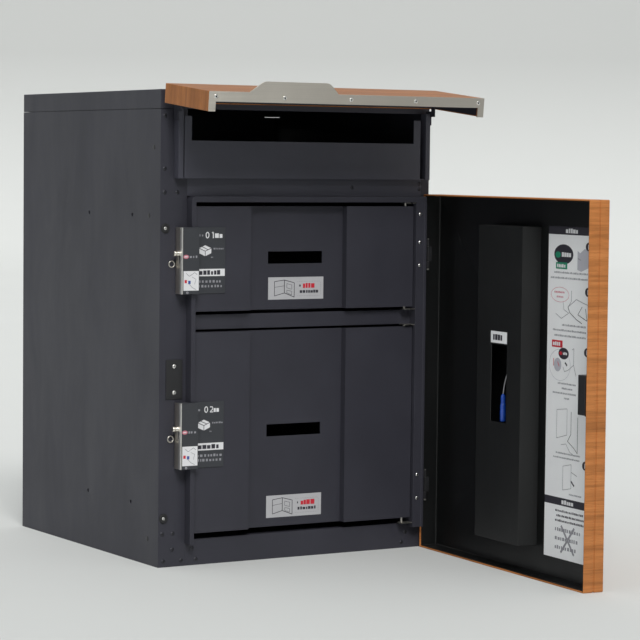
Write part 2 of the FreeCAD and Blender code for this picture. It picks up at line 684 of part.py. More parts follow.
def stamp():
    """Hand stamp: a barrel with a narrower cap."""
    shoulder = f"({STAMP_HEAD} - stamp_cap_length)"
    barrel = rod("z", STAMP_X, STAMP_Y, "stamp_foot", "stamp_radius",
                 f"{shoulder} - stamp_foot")
    cap = rod("z", STAMP_X, STAMP_Y, shoulder, "stamp_cap_radius", "stamp_cap_length")
    return fuse(barrel, cap)


def stamp_hook():
    """Wire hook on the tray that the tether hangs from, above and beside the stamp."""
    across, rise = TETHER[0]
    x = f"({STAMP_X} + {across})"
    z = f"({STAMP_HEAD} + {rise})"
    arm = box(f"{x} - hook_width / 2", f"{x} + hook_width / 2", TRAY_FLOOR,
              f"{STAMP_Y} + hook_width / 2", z, f"{z} + hook_gauge")
    foot = box(f"{x} - hook_foot_width / 2", f"{x} + hook_foot_width / 2", TRAY_FLOOR,
               f"{TRAY_FLOOR} + hook_gauge", f"{z} + hook_gauge / 2 - hook_foot_height / 2",
               f"{z} + hook_gauge / 2 + hook_foot_height / 2")
    return fuse(arm, foot)


def stamp_cord():
    """Tether as straight runs joined by tangent arcs, swept by its round section."""
    head = FreeCAD.Vector(measure(f"{STAMP_X} - width / 2"), measure(f"{STAMP_Y} - depth / 2"),
                          measure(STAMP_HEAD))
    points = [head + FreeCAD.Vector(across, 0, rise) for across, rise in TETHER]
    edges = []
    start = points[0]
    for before, corner, after in zip(points, points[1:], points[2:]):
        arriving = (before - corner).normalize()
        leaving = (after - corner).normalize()
        reach = SHARE * min((before - corner).Length, (after - corner).Length)
        half_turn = (math.pi - arriving.getAngle(leaving)) / 2
        radius = reach / math.tan(half_turn)
        print(f"tether arc radius {radius:.1f}")
        first = corner + arriving * reach
        last = corner + leaving * reach
        inward = (arriving + leaving).normalize()
        middle = corner + inward * (radius / math.cos(half_turn) - radius)
        edges.append(Part.LineSegment(start, first).toShape())
        edges.append(Part.Arc(first, middle, last).toShape())
        start = last
    edges.append(Part.LineSegment(start, points[-1]).toShape())
    path = Part.Wire(edges)
    size = measure("cord_radius")
    section = Part.Wire(Part.makeCircle(size, points[0], points[1] - points[0]))
    tube = path.makePipeShell([section], True, False)
    expected = math.pi * size ** 2 * path.Length
    if abs(tube.Volume - expected) > 0.01 * expected:
        raise RuntimeError("the tether's volume is not its section times its length")
    print(f"tether length {path.Length:.1f}")
    cord = doc.addObject("Part::Feature", "tether")
    cord.Shape = tube
    return group(cord)


def catch_body():
    """Touch catch on the free side of the front door."""
    return box("catch_inset", "catch_inset + catch_width", TRAY_FLOOR, "-door_gap",
               f"{CATCH_MIDDLE} - catch_height / 2", f"{CATCH_MIDDLE} + catch_height / 2")


# ---------------------------------------------------------------- mail lid
LID_RIM = "(lid_thickness - door_gap - door_thickness)"


def lid_shell():
    """Wood-finished lid: face, top, two sides and a half-depth lower lip."""
    foot = f"({LID_FOOT} + strip_gauge)"
    outer = box("0", "width", f"-{DOOR_FACE}", LID_RIM, foot, "height")
    inner = box("lid_skin", "width - lid_skin", f"lid_skin - {DOOR_FACE}",
                f"{LID_RIM} + overrun", f"{foot} + lid_skin", "height - lid_skin")
    mouth = box("lid_leg", "width - lid_leg", f"lid_band - {DOOR_FACE}",
                f"{LID_RIM} + overrun", f"{foot} - overrun", f"{foot} + lid_skin + overrun")
    return cut(outer, inner, mouth)


LINER_TOP = "(height - lid_skin - liner_play)"


def lid_liner():
    """Dark pan inside the lid: against its face, its top and its two sides."""
    gap = "(lid_skin + liner_play)"
    foot = f"({LID_FOOT} + strip_gauge + {gap})"
    outer = box(gap, f"width - {gap}", f"lid_skin - {DOOR_FACE}", f"{LID_RIM} - liner_setback",
                foot, LINER_TOP)
    inner = box(f"{gap} + lid_liner", f"width - {gap} - lid_liner",
                f"lid_skin + lid_liner - {DOOR_FACE}", f"{LID_RIM} + overrun",
                f"{foot} - overrun", f"{LINER_TOP} - lid_liner")
    return cut(outer, inner)


def lid_strip():
    """Brushed strip on the lid's lower edge with a leg at each end and a finger tab."""
    top = f"{LID_FOOT} + strip_gauge"
    band = box("0", "width", f"-{DOOR_FACE}", f"lid_band - {DOOR_FACE}", LID_FOOT, top)
    legs = [box("0", "lid_leg", f"-{DOOR_FACE}", LID_RIM, LID_FOOT, top),
            box("width - lid_leg", "width", f"-{DOOR_FACE}", LID_RIM, LID_FOOT, top)]
    left = measure("tab_left - width / 2")
    right = left + measure("tab_width")
    face = -measure(f"{DOOR_FACE} + depth / 2")
    reach = measure("tab_reach")
    left_slope = measure("tab_slope")
    right_slope = measure("tab_right_slope")
    foot = measure(LID_FOOT)
    outline = [(left, face), (left + left_slope, face - reach),
               (right - right_slope, face - reach), (right, face)]
    wire = Part.makePolygon([FreeCAD.Vector(x, y, foot) for x, y in outline + outline[:1]])
    tab_shape = Part.Face(wire).extrude(FreeCAD.Vector(0, 0, measure("strip_gauge")))
    upright = [edge for edge in tab_shape.Edges
               if edge.BoundBox.ZLength > 1 and edge.BoundBox.YMax < face - 1]
    tab = doc.addObject("Part::Feature", "tab")
    tab.Shape = tab_shape.makeFillet(measure("tab_corner"), upright)
    return fuse(band, *legs, tab)


STRIP_SCREWS = 5


def lid_strip_screws():
    """Heads evenly spaced along the strip, from leg to leg."""
    heads = []
    for number in range(STRIP_SCREWS):
        x = f"lid_leg + (width - 2 * lid_leg) * {number} / {STRIP_SCREWS - 1}"
        heads.append(rod("z", x, f"lid_band / 2 - {DOOR_FACE}", f"{LID_FOOT} - screw_height",
                         "screw_radius", "screw_height"))
    return group(*heads)


def lid_ear(x0):
    """Bracket on the mail cheek that reaches forward and up to carry one lid pin."""
    x1 = f"{x0} + ear_gauge"
    front = f"{LID_AXIS_Y} - ear_radius"
    base = box(x0, x1, "-mail_reach", "-overrun", f"{CAP_SEAM} - ear_height",
               f"{CAP_SEAM} + ear_radius")
    reach = box(x0, x1, front, "overrun - mail_reach", f"{CAP_SEAM} - ear_radius",
                f"{CAP_SEAM} + ear_radius")
    post = box(x0, x1, front, f"{LID_AXIS_Y} + ear_radius", f"{CAP_SEAM} - ear_radius",
               LID_AXIS_Z)
    crown = rod("x", x0, LID_AXIS_Y, LID_AXIS_Z, "ear_radius", "ear_gauge")
    bore = rod("x", f"{x0} - overrun", LID_AXIS_Y, LID_AXIS_Z, "lid_pin_radius",
               "ear_gauge + 2 * overrun")
    return cut(fuse(base, reach, post, crown), bore)


def lid_lug(x0):
    """Bracket on the lid that turns on one pin."""
    x1 = f"{x0} + ear_gauge"
    plate = box(x0, x1, f"lid_skin + lid_liner - {DOOR_FACE}", f"{LID_AXIS_Y} + ear_radius",
                f"{LID_AXIS_Z} - ear_radius", f"{LINER_TOP} - lid_liner")
    bore = rod("x", f"{x0} - overrun", LID_AXIS_Y, LID_AXIS_Z, "lid_pin_radius + running_fit",
               "ear_gauge + 2 * overrun")
    return cut(plate, bore)


# ---------------------------------------------------------------- inner doors
UPPER_MIDDLE = f"(({SHELF_TOP} + {UPPER_TOP}) / 2)"
LOWER_MIDDLE = f"((base_height + {SHELF_FOOT}) / 2)"
UPPER_CASE = f"({UPPER_MIDDLE} - upper_case_drop)"
LOWER_CASE = f"({LOWER_MIDDLE} + lower_case_rise)"
INNER_AXIS_X = "(width - inner_axis_inset)"
INNER_AXIS_Y = "-inner_axis_reach"


def inner_door(foot, top, middle):
    """Folded compartment door: two proud sides and a set-back channel with a slip slot."""
    right = "(width - inner_right)"
    face = "-inner_face"
    back = "panel_gauge - inner_face"
    pieces = [
        box("inner_left", "channel_left", face, back, foot, top),
        box("channel_right", right, face, back, foot, top),
        box("channel_left - panel_gauge", "channel_right + panel_gauge", "channel_face",
            "channel_face + panel_gauge", foot, top),
        box("channel_left - panel_gauge", "channel_left", face, "channel_face + panel_gauge",
            foot, top),
        box("channel_right", "channel_right + panel_gauge", face, "channel_face + panel_gauge",
            foot, top),
        box("inner_left", "inner_left + panel_gauge", face, "inner_back", foot, top),
        box(f"{right} - panel_gauge", right, face, "inner_edge_back", foot, top),
    ]
    for z in (foot, f"{top} - panel_gauge"):
        pieces.append(box("inner_left", "channel_left", face, "inner_back", z,
                          f"{z} + panel_gauge"))
        pieces.append(box("channel_left - panel_gauge", "channel_right + panel_gauge",
                          "channel_face", "inner_back", z, f"{z} + panel_gauge"))
        pieces.append(box("channel_right", right, face, "inner_edge_back", z,
                          f"{z} + panel_gauge"))
    slot = box("slip_left", "slip_left + slip_width", "channel_face - overrun",
               "channel_face + panel_gauge + overrun", f"{middle} - slip_height / 2",
               f"{middle} + slip_height / 2")
    bore = rod("z", INNER_AXIS_X, INNER_AXIS_Y, f"{foot} - overrun",
               "lid_pin_radius + running_fit", f"{top} - {foot} + 2 * overrun")
    return cut(fuse(*pieces), slot, bore)


def inner_hinge(foot, top, low_tab, high_tab):
    """Two tabs on the jamb and the two pins they hold, for one compartment door."""
    tabs = []
    for z in (low_tab, high_tab):
        tab = box(f"{INNER_AXIS_X} - tab_lip", JAMB_LEFT, "tab_front_set - frame_reach",
                  "-tab_back_set", z, f"{z} + tab_gauge")
        hole = rod("z", INNER_AXIS_X, INNER_AXIS_Y, f"{z} - overrun", "lid_pin_radius",
                   "tab_gauge + 2 * overrun")
        tabs.append(cut(tab, hole))
    low_pin = rod("z", INNER_AXIS_X, INNER_AXIS_Y, low_tab, "lid_pin_radius",
                  f"{foot} + inner_pin_grip - {low_tab}")
    high_pin = rod("z", INNER_AXIS_X, INNER_AXIS_Y, f"{top} - inner_pin_grip", "lid_pin_radius",
                   f"{high_tab} + tab_gauge + inner_pin_grip - {top}")
    return tabs, [low_pin, high_pin]


def lock_case(middle):
    """Lock case on the free edge, hooked over the frame wall, with a plate on the door."""
    z0 = f"({middle} - case_height / 2)"
    z1 = f"({middle} + case_height / 2)"
    below = f"{z0} - overrun"
    above = f"{z1} + overrun"
    right = "(case_left + case_width)"
    back = "overrun - case_back"
    body = box("case_left", right, "-case_face", "-case_back", z0, z1)
    plate = box(f"{right} - panel_gauge", f"{right} + case_plate", "-inner_face - panel_gauge",
                "-inner_face", z0, z1)
    hook = box("stile - case_play", f"{LINER_LEFT} + case_play", "-frame_reach - case_play",
               back, below, above)
    web = box(LINER_LEFT, f"{right} + overrun", "-inner_face", back, below, above)
    stem_play = "(stem_radius + knob_play)"
    slot = box("case_left - overrun", "case_left + case_wall + overrun",
               f"-knob_setback - {stem_play}", f"{stem_play} - knob_setback",
               f"{middle} + knob_rise - knob_travel - {stem_play}",
               f"{middle} + knob_rise + {stem_play}")
    chamber = box("case_left + case_wall", "case_left + 4 * case_wall + overrun",
                  "2 * case_wall - case_face", "-case_back - 2 * case_wall",
                  f"{middle} + knob_rise - knob_travel - slider_height / 2 - case_play",
                  f"{middle} + knob_rise + slider_height / 2 + case_play")
    return cut(fuse(body, plate), hook, web, slot, chamber)


def lock_knob(middle):
    """Sliding knob with its stem and the slider inside the case."""
    level = f"({middle} + knob_rise)"
    slider_left = "case_left + case_wall + knob_play"
    knob = rod("x", "case_left - knob_reach", "-knob_setback", level, "knob_radius",
               "knob_reach - knob_play")
    stem = rod("x", "case_left - 2 * knob_play", "-knob_setback", level, "stem_radius",
               "case_wall + slider_gauge")
    slider = box(slider_left, f"{slider_left} + slider_gauge",
                 "-knob_setback - slider_depth / 2", "slider_depth / 2 - knob_setback",
                 f"{level} - slider_height / 2", f"{level} + slider_height / 2")
    return fuse(knob, stem, slider)


# ---------------------------------------------------------------- rear door
REAR_LEFT = "(rear_flange + rear_door_gap)"
REAR_RIGHT = "(width - rear_flange - rear_door_gap - rear_pin_play)"
REAR_DOOR_TOP = f"({REAR_TOP} - rear_door_gap)"
REAR_DOOR_FOOT = "(base_height + rear_door_gap)"
REAR_AXIS_X = f"({REAR_RIGHT} - rear_axis_inset)"
REAR_AXIS_Y = "(depth - rear_axis_inset)"
LOCK_X = f"({REAR_LEFT} + lock_inset)"
LOCK_Z = f"(({REAR_TOP} + base_height) / 2)"


def rear_door():
    """Collection door on the back: a flat sheet with folded edges and a hole for its lock."""
    outer = box(REAR_LEFT, REAR_RIGHT, "depth - rear_door_depth", "depth", REAR_DOOR_FOOT,
                REAR_DOOR_TOP)
    inner = box(f"{REAR_LEFT} + panel_gauge", f"{REAR_RIGHT} - panel_gauge",
                "depth - rear_door_depth - overrun", "depth - panel_gauge",
                f"{REAR_DOOR_FOOT} + panel_gauge", f"{REAR_DOOR_TOP} - panel_gauge")
    lock_hole = rod("y", LOCK_X, "depth - panel_gauge - overrun", LOCK_Z, "lock_radius",
                    "panel_gauge + 2 * overrun")
    bore = rod("z", REAR_AXIS_X, REAR_AXIS_Y, f"{REAR_DOOR_FOOT} - overrun",
               "lid_pin_radius + running_fit", f"{REAR_DOOR_TOP} - {REAR_DOOR_FOOT} + 2 * overrun")
    return cut(outer, inner, lock_hole, bore)


def rear_pins():
    """Pins that carry the rear door, fixed by a tab each to the sill and the header."""
    top_pin = rod("z", REAR_AXIS_X, REAR_AXIS_Y, f"{REAR_DOOR_TOP} - inner_pin_grip",
                  "lid_pin_radius", f"{REAR_TOP} + inner_pin_grip - {REAR_DOOR_TOP}")
    low_pin = rod("z", REAR_AXIS_X, REAR_AXIS_Y, REAR_FOOT, "lid_pin_radius",
                  f"{REAR_DOOR_FOOT} + inner_pin_grip - {REAR_FOOT}")
    pins = []
    for pin, foot in ((low_pin, REAR_FOOT), (top_pin, f"{REAR_TOP} - rear_door_gap / 2")):
        tab = box(f"{REAR_AXIS_X} - tab_lip", "width - rear_flange",
                  f"{REAR_AXIS_Y} - 2 * lid_pin_radius", "depth", foot,
                  f"{foot} + rear_door_gap / 2")
        pins.append(fuse(pin, tab))
    return group(*pins)


def rear_lock_body():
    """Cylinder lock housing through the rear door, with its outer flange."""
    body = rod("y", LOCK_X, "depth - lock_reach", LOCK_Z, "lock_radius", "lock_reach")
    flange = rod("y", LOCK_X, "depth", LOCK_Z, "lock_radius + lock_flange", "lock_flange")
    bore = rod("y", LOCK_X, "depth - lock_reach - overrun", LOCK_Z,
               "plug_turn_radius + running_fit", "lock_reach + lock_flange + 2 * overrun")
    return cut(fuse(body, flange), bore)


def rear_lock_plug():
    """Turning plug with a key slot outside and a cam inside."""
    inner_end = "(depth - lock_reach - plug_overhang)"
    plug = rod("y", LOCK_X, inner_end, LOCK_Z, "plug_turn_radius", "plug_length")
    cam = box(f"{LOCK_X} - cam_width / 2", f"{LOCK_X} + cam_width / 2", inner_end,
              f"{inner_end} + cam_gauge", f"{LOCK_Z} - cam_width / 2",
              f"{LOCK_Z} + cam_length")
    key = box(f"{LOCK_X} - key_slot_width / 2", f"{LOCK_X} + key_slot_width / 2", "depth",
              "depth + lock_flange + overrun", f"{LOCK_Z} - key_slot_length / 2",
              f"{LOCK_Z} + key_slot_length / 2")
    return cut(fuse(plug, cam), key)


# ---------------------------------------------------------------- assembly
def build_cabinet():
    """Every piece that stays with the cabinet body."""
    node("side_panel_left", side_panel(False))
    node("side_panel_right", side_panel(True))
    node("hole_plugs", hole_plugs())
    node("roof_cap", roof_cap())
    node("base_pan", base_pan())
    node("floor_rails", floor_rails())
    node("parcel_floor", parcel_floor())
    node("front_rail", front_rail())
    node("bottom_board", bottom_board())
    node("rear_sill", rear_sill())
    node("rear_header", rear_header())
    node("mail_cheek_left", mail_frame("mail_left", MAIL_LEFT_IN))
    node("mail_cheek_right", mail_frame(MAIL_RIGHT_IN, MAIL_RIGHT_OUT))
    node("mail_plate", mail_plate())
    node("mail_sill_fold", mail_sill_fold())
    node("mail_apron", mail_apron())
    node("mail_floor", mail_floor())
    node("parcel_frame", parcel_frame())
    node("liner_left", liner(f"{LINER_LEFT} - panel_gauge", LINER_LEFT))
    node("liner_right", liner(JAMB_LEFT, f"{JAMB_LEFT} + panel_gauge"))
    node("parcel_ceiling", parcel_ceiling())
    node("shelf", shelf())
    node("flange_screws", flange_screws())
    node("jamb_screws", jamb_screws())
    node("door_bumpers", bumpers())
    node("strike_plate", strike_plate())
    node("strike_screws", strike_screws())
    node("keeper_rings", keeper_rings())


def build_door():
    """The front door and what it carries, turned to the stored opening."""
    node("door_shell", door_shell(), DOOR)
    node("door_tray", door_tray(), DOOR)
    pins = []
    for side, level in (("upper", UPPER_HINGE), ("lower", "lower_hinge")):
        fixed, moving, pin = hinge_parts(level)
        node(f"{side}_hinge_jamb_leaf", fixed)
        node(f"{side}_hinge_door_leaf", moving, DOOR)
        pins.append(pin)
    node("door_hinge_pins", group(*pins))
    node("stamp_box", stamp_box(), DOOR)
    node("stamp", stamp(), DOOR)
    node("stamp_hook", stamp_hook(), DOOR)
    node("stamp_cord", stamp_cord(), DOOR)
    node("catch_body", catch_body(), DOOR)


def build_lid():
    """The mail lid and its pins."""
    node("lid_shell", lid_shell(), LID)
    node("lid_liner", lid_liner(), LID)
    node("lid_strip", lid_strip(), LID)
    node("lid_strip_screws", lid_strip_screws(), LID)
    ear_left = "(mail_left - ear_gauge)"
    lug_left = f"({ear_left} - ear_gauge - lug_play)"
    lug_right = f"({MAIL_RIGHT_OUT} + ear_gauge + lug_play)"
    node("lid_ear_left", lid_ear(ear_left))
    node("lid_ear_right", lid_ear(MAIL_RIGHT_OUT))
    node("lid_lugs", group(lid_lug(lug_left), lid_lug(lug_right)), LID)
    pins = []
    for start in (f"{lug_left} - pin_overhang", f"{MAIL_RIGHT_OUT} - pin_overhang"):
        pins.append(rod("x", start, LID_AXIS_Y, LID_AXIS_Z, "lid_pin_radius",
                        "2 * ear_gauge + lug_play + 2 * pin_overhang"))
    node("lid_pins", group(*pins))


def build_inner_doors():
    """Both compartment doors with their tabs, pins, lock cases and knobs."""
    compartments = (
        ("upper", SHELF_TOP, UPPER_TOP, UPPER_MIDDLE, UPPER_CASE),
        ("lower", "base_height", SHELF_FOOT, LOWER_MIDDLE, LOWER_CASE),
    )
    tabs = []
    pins = []
    for side, floor, ceiling, middle, case_middle in compartments:
        foot = f"({floor} + {side}_foot_gap)"
        top = f"({ceiling} - {side}_top_gap)"
        node(f"{side}_inner_door", inner_door(foot, top, middle))
        new_tabs, new_pins = inner_hinge(foot, top, f"({floor} + low_tab_rise)",
                                         f"({ceiling} - tab_gauge)")
        tabs.extend(new_tabs)
        pins.extend(new_pins)
        node(f"{side}_lock_case", lock_case(case_middle))
        node(f"{side}_lock_knob", lock_knob(case_middle))
    node("inner_hinge_tabs", group(*tabs))
    node("inner_hinge_pins", group(*pins))


def build_rear():
    """Rear collection door, its pins and its cam lock."""
    node("rear_door", rear_door())
    node("rear_hinge_pins", rear_pins())
    node("rear_lock_body", rear_lock_body())
    node("rear_lock_plug", rear_lock_plug())


def check_and_write():
    """Refuse a failed object or an empty shape, then write one file for each sub-part."""
    doc.recompute()
    for thing in doc.Objects:
        if "Invalid" in thing.State or "Error" in thing.State:
            raise RuntimeError(f"{thing.Label}: {thing.State}")
    os.makedirs("parts", exist_ok=True)
    for name, thing in NODES.items():
        shape = thing.Shape
        if shape.isNull() or not shape.isValid() or not shape.Solids:
            raise RuntimeError(f"{name}: bad shape")
        shape.exportStep(f"parts/{name}.step")
    print(f"{len(NODES)} sub-parts written")


build_cabinet()
build_door()
build_lid()
build_inner_doors()
build_rear()
check_and_write()
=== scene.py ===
"""Mail and parcel box with its lid and front door open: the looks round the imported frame."""

import json
import math

import bpy
import numpy as np
from bpy.props import FloatProperty, FloatVectorProperty, PointerProperty
from mathutils import Matrix, Vector


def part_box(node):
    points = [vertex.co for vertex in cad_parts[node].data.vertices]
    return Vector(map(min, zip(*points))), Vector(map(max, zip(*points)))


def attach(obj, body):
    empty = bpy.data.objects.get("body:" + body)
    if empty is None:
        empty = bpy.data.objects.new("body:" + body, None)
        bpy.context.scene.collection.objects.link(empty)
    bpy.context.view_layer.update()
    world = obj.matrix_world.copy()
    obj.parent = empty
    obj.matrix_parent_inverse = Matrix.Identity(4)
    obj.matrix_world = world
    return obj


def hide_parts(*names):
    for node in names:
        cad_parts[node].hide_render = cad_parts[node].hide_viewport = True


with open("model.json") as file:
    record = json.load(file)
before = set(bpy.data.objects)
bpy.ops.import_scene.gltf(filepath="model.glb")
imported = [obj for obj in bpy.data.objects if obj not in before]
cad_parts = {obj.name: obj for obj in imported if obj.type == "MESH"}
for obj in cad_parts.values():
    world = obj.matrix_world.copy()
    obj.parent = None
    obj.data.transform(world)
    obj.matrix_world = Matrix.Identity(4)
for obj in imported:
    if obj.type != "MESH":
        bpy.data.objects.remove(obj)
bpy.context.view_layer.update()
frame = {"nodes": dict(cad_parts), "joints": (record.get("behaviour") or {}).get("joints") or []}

bl_info = {
    "name": "Mail and parcel box",
    "version": (1, 0, 0),
    "blender": (4, 5, 0),
    "location": "View3D > Sidebar > Mail box",
    "description": "Builds the visible pieces of a mail and parcel box round its packed frame",
    "category": "Object",
}

MM = 0.001
X = np.array([1.0, 0.0, 0.0])
Y = np.array([0.0, 1.0, 0.0])
Z = np.array([0.0, 0.0, 1.0])
# A face's own axes: along, up and outward, as seen by someone who looks at it.
FRONT = (X, Z, -Y)
INSIDE = (-X, Z, Y)
LEFT = (-Y, Z, -X)
RIGHT = (Y, Z, X)
BELOW = (X, Y, -Z)
# Route of the stamp's tether from its hook, in millimetres right of, behind and above the
# stamp's head, with the door closed.
TETHER = ((-13, 0, 46), (-12, 0, 32), (-2.5, 0, 14), (0, 0, 0))
TETHER_DIAMETER = 1.4 * MM


# ---------------------------------------------------------------- the frame's own places
def node_points(name, turn=None):
    """Vertices of a CAD node at rest, or with the turn of its door or lid taken back."""
    mesh = frame["nodes"][name].data
    points = np.empty(len(mesh.vertices) * 3)
    mesh.vertices.foreach_get("co", points)
    return moved(points.reshape(-1, 3), None if turn is None else turn.inverted())


def moved(points, matrix):
    """Points carried by a 4 by 4 matrix, or left as they are without one."""
    if matrix is None:
        return points
    turn = np.array(matrix)
    return points @ turn[:3, :3].T + turn[:3, 3]


def stored_turn(name):
    """Matrix that turns a piece from its joint's closed limit to the stored opening."""
    joint = next(joint for joint in frame["joints"] if joint["name"] == name)
    middle = Matrix.Translation(Vector(joint["pos_m"]))
    turn = Matrix.Rotation(-math.radians(joint["range_deg"][0]), 4, Vector(joint["axis"]))
    return middle @ turn @ middle.inverted()


DOOR = stored_turn("front_door_hinge")
LID = stored_turn("mail_lid_hinge")


def closed_box(name, turn=None):
    """Lowest and highest corner of a node, with its door or lid closed."""
    points = node_points(name, turn)
    return points.min(0), points.max(0)


def solids(name, turn=None):
    """Middle and size of each separate solid of a node, from left to right.

    Vertices that share a place get one label, and each triangle spreads the lowest label
    of its corners until nothing changes.
    """
    mesh = frame["nodes"][name].data
    points = node_points(name, turn)
    keys, index = np.unique(np.round(points, 6), axis=0, return_inverse=True)
    corners = np.empty(len(mesh.polygons) * 3, int)
    mesh.polygons.foreach_get("vertices", corners)
    corners = index.ravel()[corners].reshape(-1, 3)
    label = np.arange(len(keys))
    while True:
        lowest = label[corners].min(1)
        spread = label.copy()
        np.minimum.at(spread, corners, lowest[:, None])
        if (spread == label).all():
            break
        label = spread
    found = []
    for mark in np.unique(label):
        part = keys[label == mark]
        found.append(((part.min(0) + part.max(0)) / 2, part.max(0) - part.min(0)))
    return sorted(found, key=lambda item: (round(item[0][0], 4), round(item[0][2], 4)))


CABINET_LOW = closed_box("side_panel_left")[0]
CABINET_HIGH = np.array(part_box("roof_cap")[1])


def spot(x, y, z):
    """Place given in millimetres right of, behind and above the cabinet's left front foot."""
    return CABINET_LOW + np.array([x, y, z]) * MM


# ---------------------------------------------------------------- surfaces
def bend(corners, radii, steps=5):
    """Path through corners, each turned into an arc.

    The arc of radius r meets both runs at r times the tangent of half the turn from the
    corner, and its points are the centre plus r times the two directions, blended by angle.
    """
    corners = np.array(corners, float)
    path = [corners[:1]]
    for before, corner, after, radius in zip(corners, corners[1:], corners[2:], radii):
        arriving = (before - corner) / np.linalg.norm(before - corner)
        leaving = (after - corner) / np.linalg.norm(after - corner)
        half = np.arccos(np.clip(arriving @ leaving, -1, 1)) / 2
        if radius <= 0:
            path.append(corner[None])
            continue
        reach = radius / np.tan(half)
        middle = corner + (arriving + leaving) / np.linalg.norm(arriving + leaving) * (
            radius / np.sin(half))
        start = corner + arriving * reach - middle
        end = corner + leaving * reach - middle
        sweep = np.pi - 2 * half
        share = np.linspace(0, 1, steps)[:, None]
        arc = (np.sin((1 - share) * sweep) * start + np.sin(share * sweep) * end) / np.sin(sweep)
        path.append(middle + arc)
    path.append(corners[-1:])
    return np.concatenate(path)


def outline_plate(middle, axes, half_u, half_v, corner, profile, steps=6):
    """Rounded rectangle carried along an edge profile.

    Row i is the rectangle drawn in by profile[i][0] and lifted by profile[i][1]. Its corners
    are quarter circles about (half - corner), whose radius shrinks with the inset.
    """
    along, up, out = axes
    inset, lift = np.array(profile, float).T
    angle = (np.arange(4)[:, None] * np.pi / 2 + np.linspace(0, np.pi / 2, steps)).ravel()
    side_u = np.repeat([1, -1, -1, 1], steps)
    side_v = np.repeat([1, 1, -1, -1], steps)
    radius = np.maximum(corner - inset, 0.02 * MM)[:, None]
    centre_u = np.maximum(half_u - inset[:, None] - radius, 0)
    centre_v = np.maximum(half_v - inset[:, None] - radius, 0)
    u = side_u * centre_u + radius * np.cos(angle)
    v = side_v * centre_v + radius * np.sin(angle)
    return middle + u[..., None] * along + v[..., None] * up + lift[:, None, None] * out


def turned(middle, axes, profile, columns=32, waves=None):
    """Profile of radius and height turned about the outward axis.

    waves, if given, is a function of the angle that scales the radius of its own rows.
    """
    along, up, out = axes
    radius, lift = np.array(profile, float).T
    angle = np.linspace(0, 2 * np.pi, columns, endpoint=False)
    spread = np.repeat(radius[:, None], columns, 1)
    if waves is not None:
        spread = spread * waves(angle)
    u = spread * np.cos(angle)
    v = spread * np.sin(angle)
    return middle + u[..., None] * along + v[..., None] * up + lift[:, None, None] * out


def slab(low, high, axes, corner=0.0, edge=0.4 * MM, steps=4):
    """Block between two corners with rounded edges on its outward side."""
    low = np.array(low, float)
    high = np.array(high, float)
    along, up, out = axes
    half = (high - low) / 2
    half_u = abs(half @ along)
    half_v = abs(half @ up)
    depth = abs((high - low) @ out)
    middle = (low + high) / 2 - out * depth / 2
    profile = bend([(0, 0), (0, depth), (min(half_u, half_v) * 0.9, depth)], [edge])
    return outline_plate(middle, axes, half_u, half_v, max(corner, edge), profile, steps)


def quads(grid, closed):
    """Faces between neighbouring rings, and between the last and the first if closed."""
    rows, columns, _ = grid.shape
    near = np.arange(columns)
    far = np.roll(near, -1)
    row = (np.arange(rows if closed else rows - 1) * columns)[:, None]
    after = (row + columns) % (rows * columns)
    return np.stack([row + near, row + far, after + far, after + near], -1).reshape(-1, 4)


class Skin:
    """Closed surfaces gathered into one piece, each with its own finish."""

    def __init__(self):
        self.points = []
        self.faces = []
        self.finishes = []
        self.count = 0

    def add(self, points, faces, finish):
        """Take one closed surface, turned outward if its signed volume is negative."""
        volume = 0.0
        middle = points.mean(0)
        for block in faces:
            first = points[block[:, 0]] - middle
            for corner in range(1, block.shape[1] - 1):
                second = points[block[:, corner]] - middle
                third = points[block[:, corner + 1]] - middle
                volume += (first * np.cross(second, third)).sum()
        for block in faces:
            block = block if volume > 0 else block[:, ::-1]
            self.faces.extend((block + self.count).tolist())
            self.finishes.extend([finish] * len(block))
        self.points.append(points)
        self.count += len(points)

    def close(self, grid, finish=0):
        """Rings joined row to row, and both ends closed by a fan to the ring's middle."""
        rows, columns, _ = grid.shape
        near = np.arange(columns)
        far = np.roll(near, -1)
        start = rows * columns
        last = (rows - 1) * columns
        foot = np.stack([far, near, np.full(columns, start)], -1)
        head = np.stack([last + near, last + far, np.full(columns, start + 1)], -1)
        points = np.concatenate([grid.reshape(-1, 3), grid[:1].mean(1), grid[-1:].mean(1)])
        self.add(points, [quads(grid, False), foot, head], finish)
        return self

    def wrap(self, grid, finish=0):
        """Rings joined row to row, and the last row joined to the first."""
        self.add(grid.reshape(-1, 3), [quads(grid, True)], finish)
        return self

    def piece(self, name, finishes, body, turn=None, slot=None, replaces=(), sharp=35):
        """Make the Blender object and ride it on its body."""
        mesh = bpy.data.meshes.new(name)
        points = moved(np.concatenate(self.points), turn)
        mesh.from_pydata(points.tolist(), [], self.faces)
        for finish in finishes:
            mesh.materials.append(finish)
        mesh.polygons.foreach_set("material_index", self.finishes)
        mesh.polygons.foreach_set("use_smooth", [True] * len(self.faces))
        mesh.set_sharp_from_angle(angle=math.radians(sharp))
        mesh.update()
        thing = bpy.data.objects.new(name, mesh)
        bpy.context.scene.collection.objects.link(thing)
        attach(thing, body)
        if replaces:
            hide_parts(*replaces)
        return thing


# ---------------------------------------------------------------- finishes
def scaled(colour, share):
    """Colour with each channel times a share."""
    return tuple(channel * share for channel in colour)


